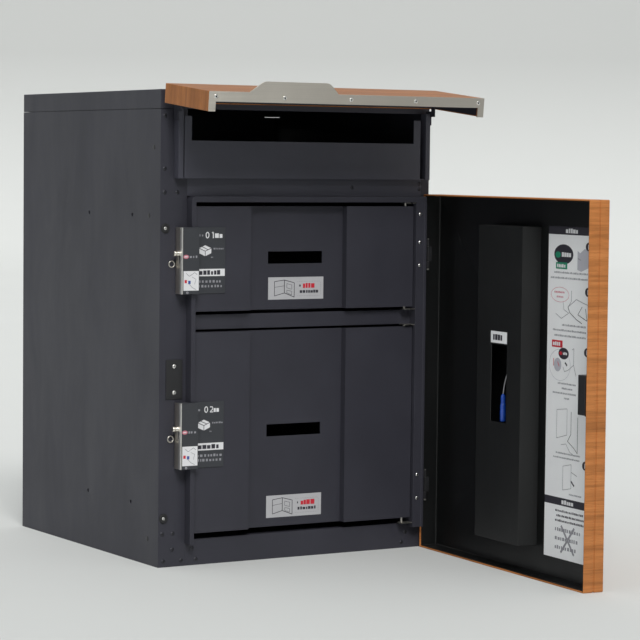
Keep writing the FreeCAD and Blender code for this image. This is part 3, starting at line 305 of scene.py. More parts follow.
class Recipe:
    """A material's nodes, added one at a time. Constants go straight on the shader."""

    def __init__(self, name, colour, roughness, metallic=0.0, **constants):
        self.material = bpy.data.materials.new(name)
        self.material.use_nodes = True
        self.tree = self.material.node_tree
        self.tree.nodes.clear()
        output = self.tree.nodes.new("ShaderNodeOutputMaterial")
        self.shader = self.tree.nodes.new("ShaderNodeBsdfPrincipled")
        self.tree.links.new(self.shader.outputs[0], output.inputs["Surface"])
        self.shader.inputs["Base Color"].default_value = (*colour, 1)
        self.shader.inputs["Roughness"].default_value = roughness
        self.shader.inputs["Metallic"].default_value = metallic
        for socket, value in constants.items():
            self.shader.inputs[socket.replace("_", " ")].default_value = value
        self.colour = colour
        self.material.diffuse_color = (*colour, 1)

    def add(self, kind, inputs, **settings):
        """One node with its settings, and its sockets set or linked."""
        node = self.tree.nodes.new(kind)
        for name, value in settings.items():
            setattr(node, name, value)
        for socket, value in inputs.items():
            self.fill(node, socket, value)
        return node

    def fill(self, node, socket, value):
        """Link a pattern to a node's socket, or set the socket to a constant."""
        if isinstance(value, bpy.types.NodeSocket):
            self.tree.links.new(value, node.inputs[socket])
        else:
            node.inputs[socket].default_value = value

    def feed(self, socket, value):
        """Link a pattern to one of the shader's sockets."""
        self.tree.links.new(value, self.shader.inputs[socket])

    def place(self, stretch=(1, 1, 1), turn=None):
        """Object coordinates, turned back to the closed pose, then stretched."""
        source = self.add("ShaderNodeTexCoord", {}).outputs["Object"]
        if turn is not None:
            angles = tuple(turn.inverted().to_euler())
            turning = {"Vector": source, "Rotation": angles}
            source = self.add("ShaderNodeMapping", turning).outputs[0]
        return self.add("ShaderNodeMapping", {"Vector": source, "Scale": stretch}).outputs[0]

    def noise(self, place, scale=1.0, detail=3.0, roughness=0.55, distortion=0.0):
        """Soft random pattern from 0 to 1."""
        inputs = {"Vector": place, "Scale": scale, "Detail": detail, "Roughness": roughness,
                  "Distortion": distortion}
        return self.add("ShaderNodeTexNoise", inputs).outputs["Fac"]

    def span(self, value, low, high, start, end):
        """Value stretched from one range to another."""
        inputs = {"Value": value, "From Min": low, "From Max": high, "To Min": start,
                  "To Max": end}
        return self.add("ShaderNodeMapRange", inputs).outputs["Result"]

    def ramp(self, value, stops):
        """Colours along a value."""
        node = self.add("ShaderNodeValToRGB", {"Fac": value})
        elements = node.color_ramp.elements
        while len(elements) < len(stops):
            elements.new(0.5)
        for element, (position, colour) in zip(elements, stops):
            element.position = position
            element.color = (*colour, 1)
        return node.outputs["Color"]

    def mix(self, value, first, second):
        """Two colours mixed by a value."""
        node = self.add("ShaderNodeMix", {}, data_type="RGBA")
        for socket, item in ((0, value), (6, first), (7, second)):
            self.fill(node, socket, (*item, 1) if isinstance(item, tuple) else item)
        return node.outputs[2]

    def sum(self, first, second, operation="ADD"):
        """Two values put together."""
        return self.add("ShaderNodeMath", {0: first, 1: second}, operation=operation).outputs[0]

    def blend(self, first, share, second, other_share):
        """Two values added, each times its share."""
        return self.sum(self.sum(first, share, "MULTIPLY"),
                        self.sum(second, other_share, "MULTIPLY"))

    def relief(self, height, strength, depth):
        """Bump of a real depth in metres."""
        bump = self.add("ShaderNodeBump", {"Height": height, "Strength": strength,
                                           "Distance": depth})
        self.feed("Normal", bump.outputs["Normal"])

    def shades(self, value, spread):
        """Base colour made lighter and darker by a share of itself."""
        dark = scaled(self.colour, 1 - spread)
        light = tuple(min(channel * (1 + spread), 1.0) for channel in self.colour)
        return self.ramp(value, [(0.25, dark), (0.75, light)])


def powder_coat(name, colour, roughness, peel=0.5, specular=0.5):
    """Powder coat: orange peel about a millimetre wide, fine grain and faint handling marks."""
    recipe = Recipe(name, colour, roughness, Specular_IOR_Level=specular)
    place = recipe.place()
    cloud = recipe.noise(place, 9.0, 4.0, 0.6)
    grain = recipe.noise(place, 1700.0, 2.0, 0.5)
    blended = recipe.blend(cloud, 0.7, grain, 0.3)
    recipe.feed("Base Color", recipe.shades(blended, 0.16))
    smear = recipe.noise(recipe.place((18, 18, 5)), 1.0, 5.0, 0.65, 0.6)
    recipe.feed("Roughness", recipe.span(smear, 0.3, 0.7, roughness - 0.05, roughness + 0.07))
    waves = recipe.noise(place, 620.0, 2.0, 0.45)
    height = recipe.blend(waves, peel, grain, 0.4)
    recipe.relief(height, 0.35, 0.00006)
    return recipe


def wood_film(name, turn, light=1.0):
    """Printed wood film: long streaks, fine fibres and short dark pores along the grain.

    The grain runs across the door, so the pattern changes slowly along the width and
    depth, and quickly along the height.
    """
    # light scales the film's colour: below 1 it gives a darker copy of the same film as painted
    # shade.
    colour = scaled((0.52, 0.195, 0.058), light)
    recipe = Recipe(name, colour, 0.46, Specular_IOR_Level=0.2)
    streak = recipe.noise(recipe.place((5, 5, 95), turn), 1.0, 5.0, 0.62, 0.5)
    fibre = recipe.noise(recipe.place((16, 16, 620), turn), 1.0, 3.0, 0.6, 0.15)
    pore = recipe.noise(recipe.place((70, 70, 2300), turn), 1.0, 2.0, 0.5)
    figure = recipe.blend(streak, 0.68, fibre, 0.32)
    dark = scaled(colour, 0.50)
    deep = scaled(colour, 0.80)
    pale = (colour[0] * 1.28, colour[1] * 1.42, colour[2] * 1.6)
    wood = recipe.ramp(figure, [(0.30, dark), (0.43, deep), (0.53, colour), (0.70, pale)])
    cut = recipe.span(pore, 0.60, 0.70, 0.0, 0.55)
    recipe.feed("Base Color", recipe.mix(cut, wood, scaled(colour, 0.34)))
    recipe.feed("Roughness", recipe.span(fibre, 0.3, 0.7, 0.38, 0.52))
    recipe.relief(recipe.sum(recipe.sum(fibre, 0.4, "MULTIPLY"), cut, "SUBTRACT"), 0.35, 0.00006)
    return recipe


def brushed_metal(name, colour, roughness, stretch, turn=None):
    """Brushed metal: scratches along one direction, each a fraction of a millimetre wide."""
    recipe = Recipe(name, colour, roughness, 1.0)
    scratch = recipe.noise(recipe.place(stretch, turn), 1.0, 4.0, 0.7)
    cloud = recipe.noise(recipe.place((1, 1, 1), turn), 22.0, 3.0)
    recipe.feed("Base Color", recipe.shades(recipe.blend(scratch, 0.6, cloud, 0.4), 0.2))
    recipe.feed("Roughness", recipe.span(scratch, 0.3, 0.7, roughness - 0.08, roughness + 0.1))
    recipe.relief(scratch, 0.3, 0.00003)
    return recipe


def strip_metal(name, colour):
    """Brushed strip with painted light: its full colour at the left end, then darkened by painted
    shade from there to just past its middle.
    """
    recipe = brushed_metal(name, colour, 0.36, (7, 1500, 1500), LID)
    base = recipe.shader.inputs["Base Color"].links[0].from_socket
    closed = recipe.add("ShaderNodeSeparateXYZ", {"Vector": recipe.place((1, 1, 1), LID)})
    # Painted light: painted shade darkens the strip to 0.72 of its colour between the left end and
    # 100 mm past the middle.
    painted_shade_full_x = (CABINET_LOW[0] + CABINET_HIGH[0]) / 2 + 100 * MM
    painted_highlight_share = recipe.span(closed.outputs["X"], CABINET_LOW[0], painted_shade_full_x, 1.0, 0.0)
    recipe.feed("Base Color", recipe.mix(painted_highlight_share, scaled(colour, 0.72), base))
    return recipe


def bright_metal(name, colour, roughness=0.22, stain=0.15):
    """Plated or polished metal with cloudy stains and tiny pits."""
    recipe = Recipe(name, colour, roughness, 1.0)
    place = recipe.place()
    cloud = recipe.noise(place, 160.0, 5.0, 0.6, 0.4)
    pits = recipe.noise(place, 1900.0, 2.0)
    recipe.feed("Base Color", recipe.shades(cloud, stain))
    recipe.feed("Roughness", recipe.span(cloud, 0.3, 0.7, roughness * 0.7, roughness * 1.5))
    recipe.relief(pits, 0.18, 0.00003)
    return recipe


def moulded(name, colour, roughness, grain=900.0, varnish=0.0):
    """Moulded plastic or rubber with an even fine grain and rubbed patches."""
    recipe = Recipe(name, colour, roughness, Coat_Weight=varnish)
    place = recipe.place()
    cloud = recipe.noise(place, 55.0, 4.0, 0.6)
    skin = recipe.noise(place, grain, 2.0, 0.5)
    recipe.feed("Base Color", recipe.shades(cloud, 0.14))
    recipe.feed("Roughness", recipe.span(cloud, 0.3, 0.7, roughness - 0.06, roughness + 0.08))
    recipe.relief(skin, 0.3, 0.00005)
    return recipe


def printed(name, colour, roughness=0.55, mottle=0.05):
    """Paper or printing ink: faint mottle and a fibrous surface."""
    recipe = Recipe(name, colour, roughness)
    place = recipe.place()
    cloud = recipe.noise(place, 45.0, 5.0, 0.6)
    fibre = recipe.noise(recipe.place((500, 500, 1500)), 1.0, 3.0, 0.6)
    recipe.feed("Base Color", recipe.shades(recipe.blend(cloud, 0.6, fibre, 0.4), mottle))
    recipe.feed("Roughness", recipe.span(fibre, 0.3, 0.7, roughness - 0.05, roughness + 0.05))
    recipe.relief(fibre, 0.12, 0.00003)
    return recipe


def palette():
    """Maker, material name and settings of each finish."""
    colours = bpy.context.scene.mail_box_colours
    charcoal = tuple(colours.charcoal)
    black = tuple(colours.black)
    steel = tuple(colours.steel)
    return {
        "charcoal": (powder_coat, "charcoal_powder_coat", charcoal, 0.5, 0.5, 0.38),
        # Lighter copy of the charcoal for the mail section: a painted reflection on the same
        # powder coat.
        "mail_charcoal_painted_reflection": (powder_coat, "mail_powder_coat", scaled(charcoal, 1.6), 0.44),
        "inner_charcoal": (powder_coat, "inner_door_powder_coat", charcoal, 0.46, 0.5, 0.42),
        "black": (powder_coat, "black_tray_coat", black, 0.34, 0.3),
        "stamp_box_black": (powder_coat, "stamp_box_coat", scaled(black, 1.5), 0.5, 0.4),
        "case": (powder_coat, "lock_case_coat", (0.040, 0.043, 0.050), 0.5, 0.4),
        "door_wood": (wood_film, "door_wood_film", DOOR),
        # The lid's copy of the wood film is darkened to 0.72 as painted shade.
        "lid_wood": (wood_film, "lid_wood_film", LID, 0.72),
        "strip": (strip_metal, "brushed_strip", steel),
        "lock_side": (brushed_metal, "brushed_lock_side", steel, 0.34, (1500, 1500, 9)),
        "steel_lip": (brushed_metal, "steel_lip", (0.92, 0.90, 0.86), 0.42, (900, 900, 12)),
        "screw_rim": (bright_metal, "bright_screw", (0.82, 0.81, 0.78), 0.25),
        "zinc": (bright_metal, "zinc_plate", (0.60, 0.58, 0.54), 0.32),
        "knob": (bright_metal, "polished_knob", (0.86, 0.82, 0.74), 0.16),
        "dark_screw": (bright_metal, "black_oxide_screw", (0.07, 0.07, 0.08), 0.38),
        "socket": (moulded, "socket_shadow", (0.006, 0.006, 0.007), 0.7),
        "rubber": (moulded, "bumper_rubber", (0.014, 0.014, 0.015), 0.62),
        "plastic": (moulded, "black_moulding", (0.018, 0.018, 0.02), 0.42),
        "stamp_blue": (moulded, "stamp_blue", (0.012, 0.075, 0.46), 0.25, 600.0, 0.5),
        "tether": (moulded, "tether_cord", (0.40, 0.40, 0.42), 0.75, 2500.0),
        "paper": (printed, "sheet_paper", (0.94, 0.95, 0.97), 0.5, 0.03),
        "silver": (printed, "silver_label", (0.50, 0.50, 0.52), 0.4, 0.08),
        "ink": (printed, "dark_ink", (0.030, 0.028, 0.040)),
        "grey_ink": (printed, "grey_ink", (0.30, 0.30, 0.33)),
        "pale_ink": (printed, "pale_ink", (0.52, 0.52, 0.58)),
        "white_ink": (printed, "white_ink", (0.80, 0.80, 0.82)),
        "red_ink": (printed, "red_ink", (0.60, 0.02, 0.04)),
        "pink_ink": (printed, "pink_ink", (0.62, 0.22, 0.28)),
        "green_ink": (printed, "green_ink", (0.01, 0.25, 0.14)),
        "blue_ink": (printed, "blue_ink", (0.03, 0.08, 0.35)),
    }


FINISHES = {}


def finish(name):
    """A finish made once and shared by the pieces that use it."""
    if name not in FINISHES:
        maker, *settings = palette()[name]
        FINISHES[name] = maker(*settings).material
    return FINISHES[name]


# ---------------------------------------------------------------- settings
def length(name, description, default, low, high):
    """Setting in millimetres, stored in metres."""
    return FloatProperty(name=name, description=description, default=default * MM, min=low * MM,
                         max=high * MM, subtype="DISTANCE", unit="LENGTH", precision=5)


def colour_of(name, description, default):
    """Setting for a base colour."""
    return FloatVectorProperty(name=name, description=description, default=default, min=0, max=1,
                               subtype="COLOR")


class Colours(bpy.types.PropertyGroup):
    """Base colours of the box's finishes."""

    charcoal: colour_of("Charcoal", "Powder coat of the cabinet and its doors",
                        (0.036, 0.036, 0.048))
    black: colour_of("Black", "Paint inside the front door", (0.0040, 0.0044, 0.0046))
    steel: colour_of("Steel", "Brushed strip on the lid and side of the lock cases",
                     (0.74, 0.69, 0.62))


class Folds(bpy.types.PropertyGroup):
    """Sizes of folded edges."""

    sheet_radius: length("Sheet fold", "Outer radius of a folded cabinet sheet", 0.9, 0.1, 3)
    rim_radius: length("Rim fold", "Radius of the front door's outer edges", 1.1, 0.1, 3)
    groove_setback: length("Groove place", "Distance from the door's rim to the groove",
                           13.8, 5, 25)
    groove_width: length("Groove width", "Width of the groove round the door", 3.4, 1, 6)
    groove_depth: length("Groove depth", "Depth of the groove round the door", 1.4, 0.2, 1.7)
    groove_radius: length("Groove lip", "Radius of the groove's two lips", 0.45, 0.1, 1)


class Stage(bpy.types.PropertyGroup):
    """Floor and light."""

    floor_colour: colour_of("Floor", "Colour of the floor and the wall behind it",
                            (0.70, 0.715, 0.705))
    floor_radius: FloatProperty(
        name="Floor radius", description="Distance from the box to where the floor turns up",
        default=9.0, min=4.0, max=30.0, subtype="DISTANCE", unit="LENGTH")
    sky_strength: FloatProperty(
        name="Sky", description="Strength of the even light from all sides", default=0.72, min=0,
        max=5)
    key_strength: FloatProperty(
        name="Key", description="Strength of the soft light from the left front", default=2.1,
        min=0, max=10)
    lens: FloatProperty(
        name="Lens", description="Focal length of the camera", default=141.6, min=20, max=400,
        subtype="DISTANCE_CAMERA")


# ---------------------------------------------------------------- carried-over CAD nodes
def coat(names, name, width=None):
    """Give CAD nodes a finish, and round their folded edges by modifiers alone."""
    for node_name in names:
        node = frame["nodes"][node_name]
        for slot in node.material_slots:
            slot.material = finish(name)
        if width:
            round_edges(node, width)


def round_edges(node, width, segments=3):
    """Weld a CAD node's loose triangles, clear flat edges and bevel the sharp ones."""
    weld = node.modifiers.new("weld", "WELD")
    weld.merge_threshold = 0.002 * MM
    flat = node.modifiers.new("flat", "DECIMATE")
    flat.decimate_type = "DISSOLVE"
    flat.angle_limit = math.radians(1)
    bevel = node.modifiers.new("fold", "BEVEL")
    bevel.width = width
    bevel.segments = segments
    bevel.limit_method = "ANGLE"
    bevel.angle_limit = math.radians(40)
    bevel.use_clamp_overlap = True
    normals = node.modifiers.new("normals", "WEIGHTED_NORMAL")
    normals.keep_sharp = False


class MAILBOX_OT_stage(bpy.types.Operator):
    """Build the floor, the light and the camera"""

    bl_idname = "mail_box.stage"
    bl_label = "Stage"

    def execute(self, context):
        stage = context.scene.mail_box_stage
        scene = context.scene
        rise = 4.0
        wall_height = 9.0
        gauge = 0.2
        centre = 0.001
        wall = stage.floor_radius + rise
        path = bend([(centre, 0), (wall, 0), (wall, wall_height)], [rise], 24)
        under = np.array([(wall + gauge, wall_height), (wall + gauge, -gauge), (centre, -gauge)])
        skin = Skin()
        skin.close(turned(np.zeros(3), (X, Y, Z), np.concatenate([path, under]), 96))
        mesh = bpy.data.meshes.new("floor")
        mesh.from_pydata(np.concatenate(skin.points).tolist(), [], skin.faces)
        mesh.polygons.foreach_set("use_smooth", [True] * len(skin.faces))
        mesh.set_sharp_from_angle(angle=math.radians(40))
        mesh.materials.append(self.floor_paint(stage))
        floor = bpy.data.objects.new("floor", mesh)
        scene.collection.objects.link(floor)
        self.lights(scene, stage)
        self.camera(scene, stage)
        scene.view_settings.view_transform = "Standard"
        return {"FINISHED"}

    def floor_paint(self, stage):
        """Matt studio floor with the faintest mottle, darker where it turns up into a wall."""
        recipe = Recipe("studio_floor", tuple(stage.floor_colour), 0.9)
        mottle = recipe.shades(recipe.noise(recipe.place(), 1.5), 0.01)
        height = recipe.add("ShaderNodeSeparateXYZ", {"Vector": recipe.place()}).outputs["Z"]
        fully_dark_height = 1.2
        risen = recipe.span(height, 0.0, fully_dark_height, 0.0, 1.0)
        turned_up = scaled(stage.floor_colour, 0.66)
        recipe.feed("Base Color", recipe.mix(risen, mottle, turned_up))
        return recipe.material

    def lights(self, scene, stage):
        """Even sky and one soft key from the left front."""
        world = bpy.data.worlds.new("studio")
        world.use_nodes = True
        back = world.node_tree.nodes["Background"]
        back.inputs["Color"].default_value = (0.985, 1.0, 1.0, 1)
        back.inputs["Strength"].default_value = stage.sky_strength
        scene.world = world
        self.sun("key", stage.key_strength, (47, 0, -24), 26, (1.0, 0.99, 0.975))

    def sun(self, name, strength, angles, size, colour):
        """Far soft light with an angular size in degrees."""
        lamp = bpy.data.lights.new(name, "SUN")
        lamp.energy = strength
        lamp.angle = math.radians(size)
        lamp.color = colour
        thing = bpy.data.objects.new(name, lamp)
        thing.rotation_euler = tuple(math.radians(angle) for angle in angles)
        bpy.context.scene.collection.objects.link(thing)

    def camera(self, scene, stage):
        """Camera at the left front, a little above the box's middle."""
        place = (-1.7886, -3.2450, 0.5543)
        turned_right = 31.125
        tilted_down = 3.594
        rolled = 0.61
        data = bpy.data.cameras.new("camera")
        data.lens = stage.lens
        data.sensor_width = 36
        data.clip_end = 60
        camera = bpy.data.objects.new("camera", data)
        yaw = Matrix.Rotation(-math.radians(turned_right), 4, "Z")
        pitch = Matrix.Rotation(math.radians(90 - tilted_down), 4, "X")
        roll = Matrix.Rotation(math.radians(rolled), 4, "Z")
        camera.matrix_world = Matrix.Translation(place) @ yaw @ pitch @ roll
        scene.collection.objects.link(camera)
        scene.camera = camera


class MAILBOX_OT_cabinet(bpy.types.Operator):
    """Coat the cabinet's sheets and round their folds"""

    bl_idname = "mail_box.cabinet"
    bl_label = "Cabinet sheets"

    def execute(self, context):
        radius = context.scene.mail_box_folds.sheet_radius
        coat(["side_panel_left", "side_panel_right", "roof_cap", "parcel_frame"], "charcoal",
             radius)
        coat(["rear_header"], "charcoal")
        coat(["bottom_board", "rear_sill"], "charcoal", 0.45 * MM)
        # The mail section takes the lighter charcoal copy, a painted reflection.
        coat(["front_rail", "mail_plate", "mail_apron", "mail_cheek_left", "mail_cheek_right"],
             "mail_charcoal_painted_reflection", 0.45 * MM)
        coat(["base_pan", "floor_rails", "parcel_floor", "mail_sill_fold", "mail_floor",
              "liner_left", "liner_right", "parcel_ceiling", "shelf"], "inner_charcoal")
        coat(["inner_hinge_tabs", "inner_hinge_pins", "door_hinge_pins", "lid_pins",
              "rear_hinge_pins"], "zinc")
        coat(["lid_ear_left", "lid_ear_right"], "charcoal", 0.4 * MM)
        coat(["lid_lugs"], "charcoal", 0.3 * MM)
        return {"FINISHED"}


class MAILBOX_OT_inner_doors(bpy.types.Operator):
    """Coat the two compartment doors and round their folds"""

    bl_idname = "mail_box.inner_doors"
    bl_label = "Compartment doors"

    def execute(self, context):
        coat(["upper_inner_door", "lower_inner_door"], "inner_charcoal",
             context.scene.mail_box_folds.sheet_radius)
        return {"FINISHED"}


def pan(box, axes, corner, corners, radii):
    """Folded pan: an edge profile carried round a rounded rectangle."""
    low, high = box
    along, up, out = axes
    half = (high - low) / 2
    middle = (low + high) / 2
    middle = middle - out * ((middle - np.where(out > 0, high, low)) @ out)
    return outline_plate(middle, axes, abs(half @ along), abs(half @ up), corner,
                         bend(corners, radii), 5)


class MAILBOX_OT_door(bpy.types.Operator):
    """Build the front door's wood-finished shell and its painted tray"""

    bl_idname = "mail_box.door"
    bl_label = "Front door"

    def execute(self, context):
        folds = context.scene.mail_box_folds
        low, high = closed_box("door_shell", DOOR)
        tray_low, tray_high = closed_box("door_tray", DOOR)
        depth = high[1] - low[1]
        skin_gauge = tray_low[0] - low[0]
        half = (high[2] - low[2]) / 2
        half_u = (high[0] - low[0]) / 2
        centre = min(half, half_u) * 0.9
        groove = folds.groove_setback
        width = folds.groove_width
        sunk = folds.groove_depth
        lip = folds.groove_radius
        rim = folds.rim_radius
        corners = [(centre, -depth + skin_gauge), (skin_gauge, -depth + skin_gauge),
                   (skin_gauge, 0), (0, 0), (0, -groove), (sunk, -groove - 0.25 * width),
                   (sunk, -groove - 0.75 * width), (0, -groove - width), (0, -depth),
                   (centre, -depth)]
        radii = [0.5 * MM, 0.6 * MM, 0.7 * MM, lip, lip, lip, lip, rim]
        Skin().close(pan((low, high), INSIDE, 1.6 * MM, corners, radii)).piece(
            "door_shell_wood", [finish("door_wood")], "front_door", DOOR, "wood_film",
            ["door_shell"])
        gauge = 1.2 * MM
        floor = closed_box("stamp_box", DOOR)[0][1] - tray_high[1]
        tray_depth = tray_high[1] - tray_low[1]
        corners = [(centre, floor), (gauge, floor), (gauge, 0), (0, 0), (0, -tray_depth),
                   (centre, -tray_depth)]
        radii = [1.8 * MM, 0.5 * MM, 0.5 * MM, 1.0 * MM]
        Skin().close(pan((tray_low, tray_high), INSIDE, 1.4 * MM, corners, radii)).piece(
            "door_tray_painted", [finish("black")], "front_door", DOOR, "black_paint",
            ["door_tray"])
        return {"FINISHED"}


class MAILBOX_OT_lid(bpy.types.Operator):
    """Coat the lid, its liner and its brushed strip"""

    bl_idname = "mail_box.lid"
    bl_label = "Mail lid"

    def execute(self, context):
        # The lid's wood film is the darker copy: painted shade.
        coat(["lid_shell"], "lid_wood", 0.9 * MM)
        coat(["lid_liner"], "inner_charcoal")
        coat(["lid_strip"], "strip", 0.35 * MM)
        return {"FINISHED"}


class MAILBOX_OT_stamp_box(bpy.types.Operator):
    """Coat the stamp box and its hook, and build the stamp and its tether"""

    bl_idname = "mail_box.stamp_box"
    bl_label = "Stamp box"

    def execute(self, context):
        coat(["stamp_box"], "stamp_box_black", 0.6 * MM)
        coat(["stamp_hook"], "zinc", 0.3 * MM)
        low, high = closed_box("stamp", DOOR)
        radius = (high[0] - low[0]) / 2
        length = high[2] - low[2]
        foot = np.array([(low[0] + high[0]) / 2, (low[1] + high[1]) / 2, low[2]])
        corners = [(0.4 * radius, 0), (radius, 0), (radius, 0.60 * length),
                   (0.84 * radius, 0.63 * length), (0.80 * radius, 0.93 * length),
                   (0.3 * radius, length), (0.1 * radius, length)]
        radii = [0.5 * MM, 0.3 * MM, 0.2 * MM, 0.8 * MM, 0.3 * MM]
        barrel = Skin().close(turned(foot, (X, Y, Z), bend(corners, radii))).piece(
            "stamp_barrel", [finish("stamp_blue")], "front_door", DOOR, "blue_plastic", ["stamp"])
        self.tether(foot + Z * length, barrel)
        return {"FINISHED"}

    def tether(self, head, barrel):
        """Limp cord from the hook down to the stamp, along the route given in TETHER."""
        points = moved(head + np.array(TETHER) * MM, DOOR)
        curve = bpy.data.curves.new("stamp_tether", "CURVE")
        curve.dimensions = "3D"
        curve.bevel_depth = TETHER_DIAMETER / 2
        curve.bevel_resolution = 4
        curve.resolution_u = 16
        curve.use_fill_caps = True
        spline = curve.splines.new("NURBS")
        spline.points.add(len(points) - 1)
        for point, place in zip(spline.points, points):
            point.co = (*place, 1)
        spline.order_u = 3
        spline.use_endpoint_u = True
        curve.materials.append(finish("tether"))
        tether = bpy.data.objects.new("stamp_tether", curve)
        bpy.context.scene.collection.objects.link(tether)
        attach(tether, "front_door")
        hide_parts("stamp_cord")


class MAILBOX_OT_locks(bpy.types.Operator):
    """Coat the lock cases and build their steel sides and knobs"""

    bl_idname = "mail_box.locks"
    bl_label = "Locks"

    def execute(self, context):
        for side in ("upper", "lower"):
            body = f"{side}_compartment_door"
            coat([f"{side}_lock_case"], "case", 0.35 * MM)
            self.steel_side(side, body)
            self.knob(side)
        return {"FINISHED"}

    def steel_side(self, side, body):
        """Steel plate on the case's left side, with a bright lip along its front edge."""
        low, high = closed_box(f"{side}_lock_case")
        knob_low, knob_high = closed_box(f"{side}_lock_knob")
        gauge = 0.7 * MM
        lip_depth = 6.5 * MM
        slot_half_width = 1.6 * MM
        slot_half_height = 8.5 * MM
        slot_drop = 6 * MM
        middle = (low[2] + high[2]) / 2
        half = (high[2] - low[2]) / 2
        front = low[1]
        back = low[1] + 20 * MM
        slot_z = (knob_low[2] + knob_high[2]) / 2 - slot_drop
        slot_y = (knob_low[1] + knob_high[1]) / 2
        plate_y = (front + back) / 2
        outer = outline_plate(np.array([low[0], plate_y, middle]), LEFT, (back - front) / 2, half,
                              0.6 * MM, bend([(0, 0), (0, gauge), (0.4 * MM, gauge)], [0.25 * MM]))
        inner = outline_plate(np.array([low[0], slot_y, slot_z]), LEFT, slot_half_width,
                              slot_half_height, slot_half_width,
                              [(-0.2 * MM, gauge), (0, gauge * 0.8), (0, 0)])
        skin = Skin()
        skin.wrap(np.concatenate([outer, inner]))
        lip_low = np.array([low[0] - gauge * 2.2, front, low[2]])
        lip_high = np.array([low[0] - gauge * 0.5, front + lip_depth, high[2]])
        skin.close(slab(lip_low, lip_high, LEFT, 0.3 * MM, 0.5 * MM), 1)
        skin.piece(f"{side}_lock_side", [finish("lock_side"), finish("steel_lip")], body, None,
                   "steel_strip")

    def knob(self, side):
        """Turned knob with a rounded end and a waist."""
        low, high = closed_box(f"{side}_lock_knob")
        middle_y = (low[1] + high[1]) / 2
        case_left = closed_box(f"{side}_lock_case")[0][0]
        radius = 3.8 * MM
        stem_radius = 1.3 * MM
        stem_depth = 4 * MM
        stand_off = 0.9 * MM
        above_foot = 6 * MM
        reach = case_left - low[0] - stand_off
        start = np.array([case_left - stand_off, middle_y, low[2] + above_foot])
        corners = [(0.2 * MM, -stem_depth), (stem_radius, -stem_depth), (stem_radius, 0),
                   (radius, 0), (radius, 0.3 * reach), (0.8 * radius, 0.42 * reach),
                   (0.8 * radius, 0.6 * reach), (radius, 0.7 * reach), (radius, reach),
                   (0.1 * MM, reach)]
        radii = [0, 0, 0.3 * MM, 0.4 * MM, 0.3 * MM, 0.3 * MM, 0.4 * MM, 1.2 * MM]
        Skin().close(turned(start, LEFT, bend(corners, radii))).piece(
            f"{side}_knob_turned", [finish("knob")], f"{side}_knob", None, "knob",
            [f"{side}_lock_knob"])


def cross_recess(angle):
    """Radius share of a cross recess: wide on four arms, narrow between them."""
    return 0.45 + 0.55 * np.abs(np.cos(2 * angle)) ** 3


def hex_recess(angle):
    """Radius share of a hexagon: one over the cosine of the angle from the nearest flat."""
    wedge = np.pi / 3
    return 0.88 / np.cos((angle + wedge / 2) % wedge - wedge / 2)


def screw_head(skin, middle, axes, radius, height, recess, rim=0, hollow=1):
    """Domed head with a driven recess: ring profile outside, shaped rows inside."""
    dome = bend([(radius * 0.4, 0), (radius, 0), (radius, 0.35 * height), (radius * 0.62, height),
                 (radius * 0.5, height)], [0, 0.1 * radius, 0.25 * radius], 4)
    outside = turned(middle, axes, dome, 24)
    well = np.array([(radius * 0.42, height), (radius * 0.38, height * 0.45),
                     (radius * 0.05, height * 0.4)])
    inside = turned(middle, axes, well, 24, recess)
    skin.close(np.concatenate([outside, inside[:2]]), rim)
    plug = np.array([(radius * 0.40, height * 0.5), (radius * 0.40, height * 0.72),
                     (radius * 0.05, height * 0.72)])
    skin.close(turned(middle, axes, plug, 24, recess), hollow)


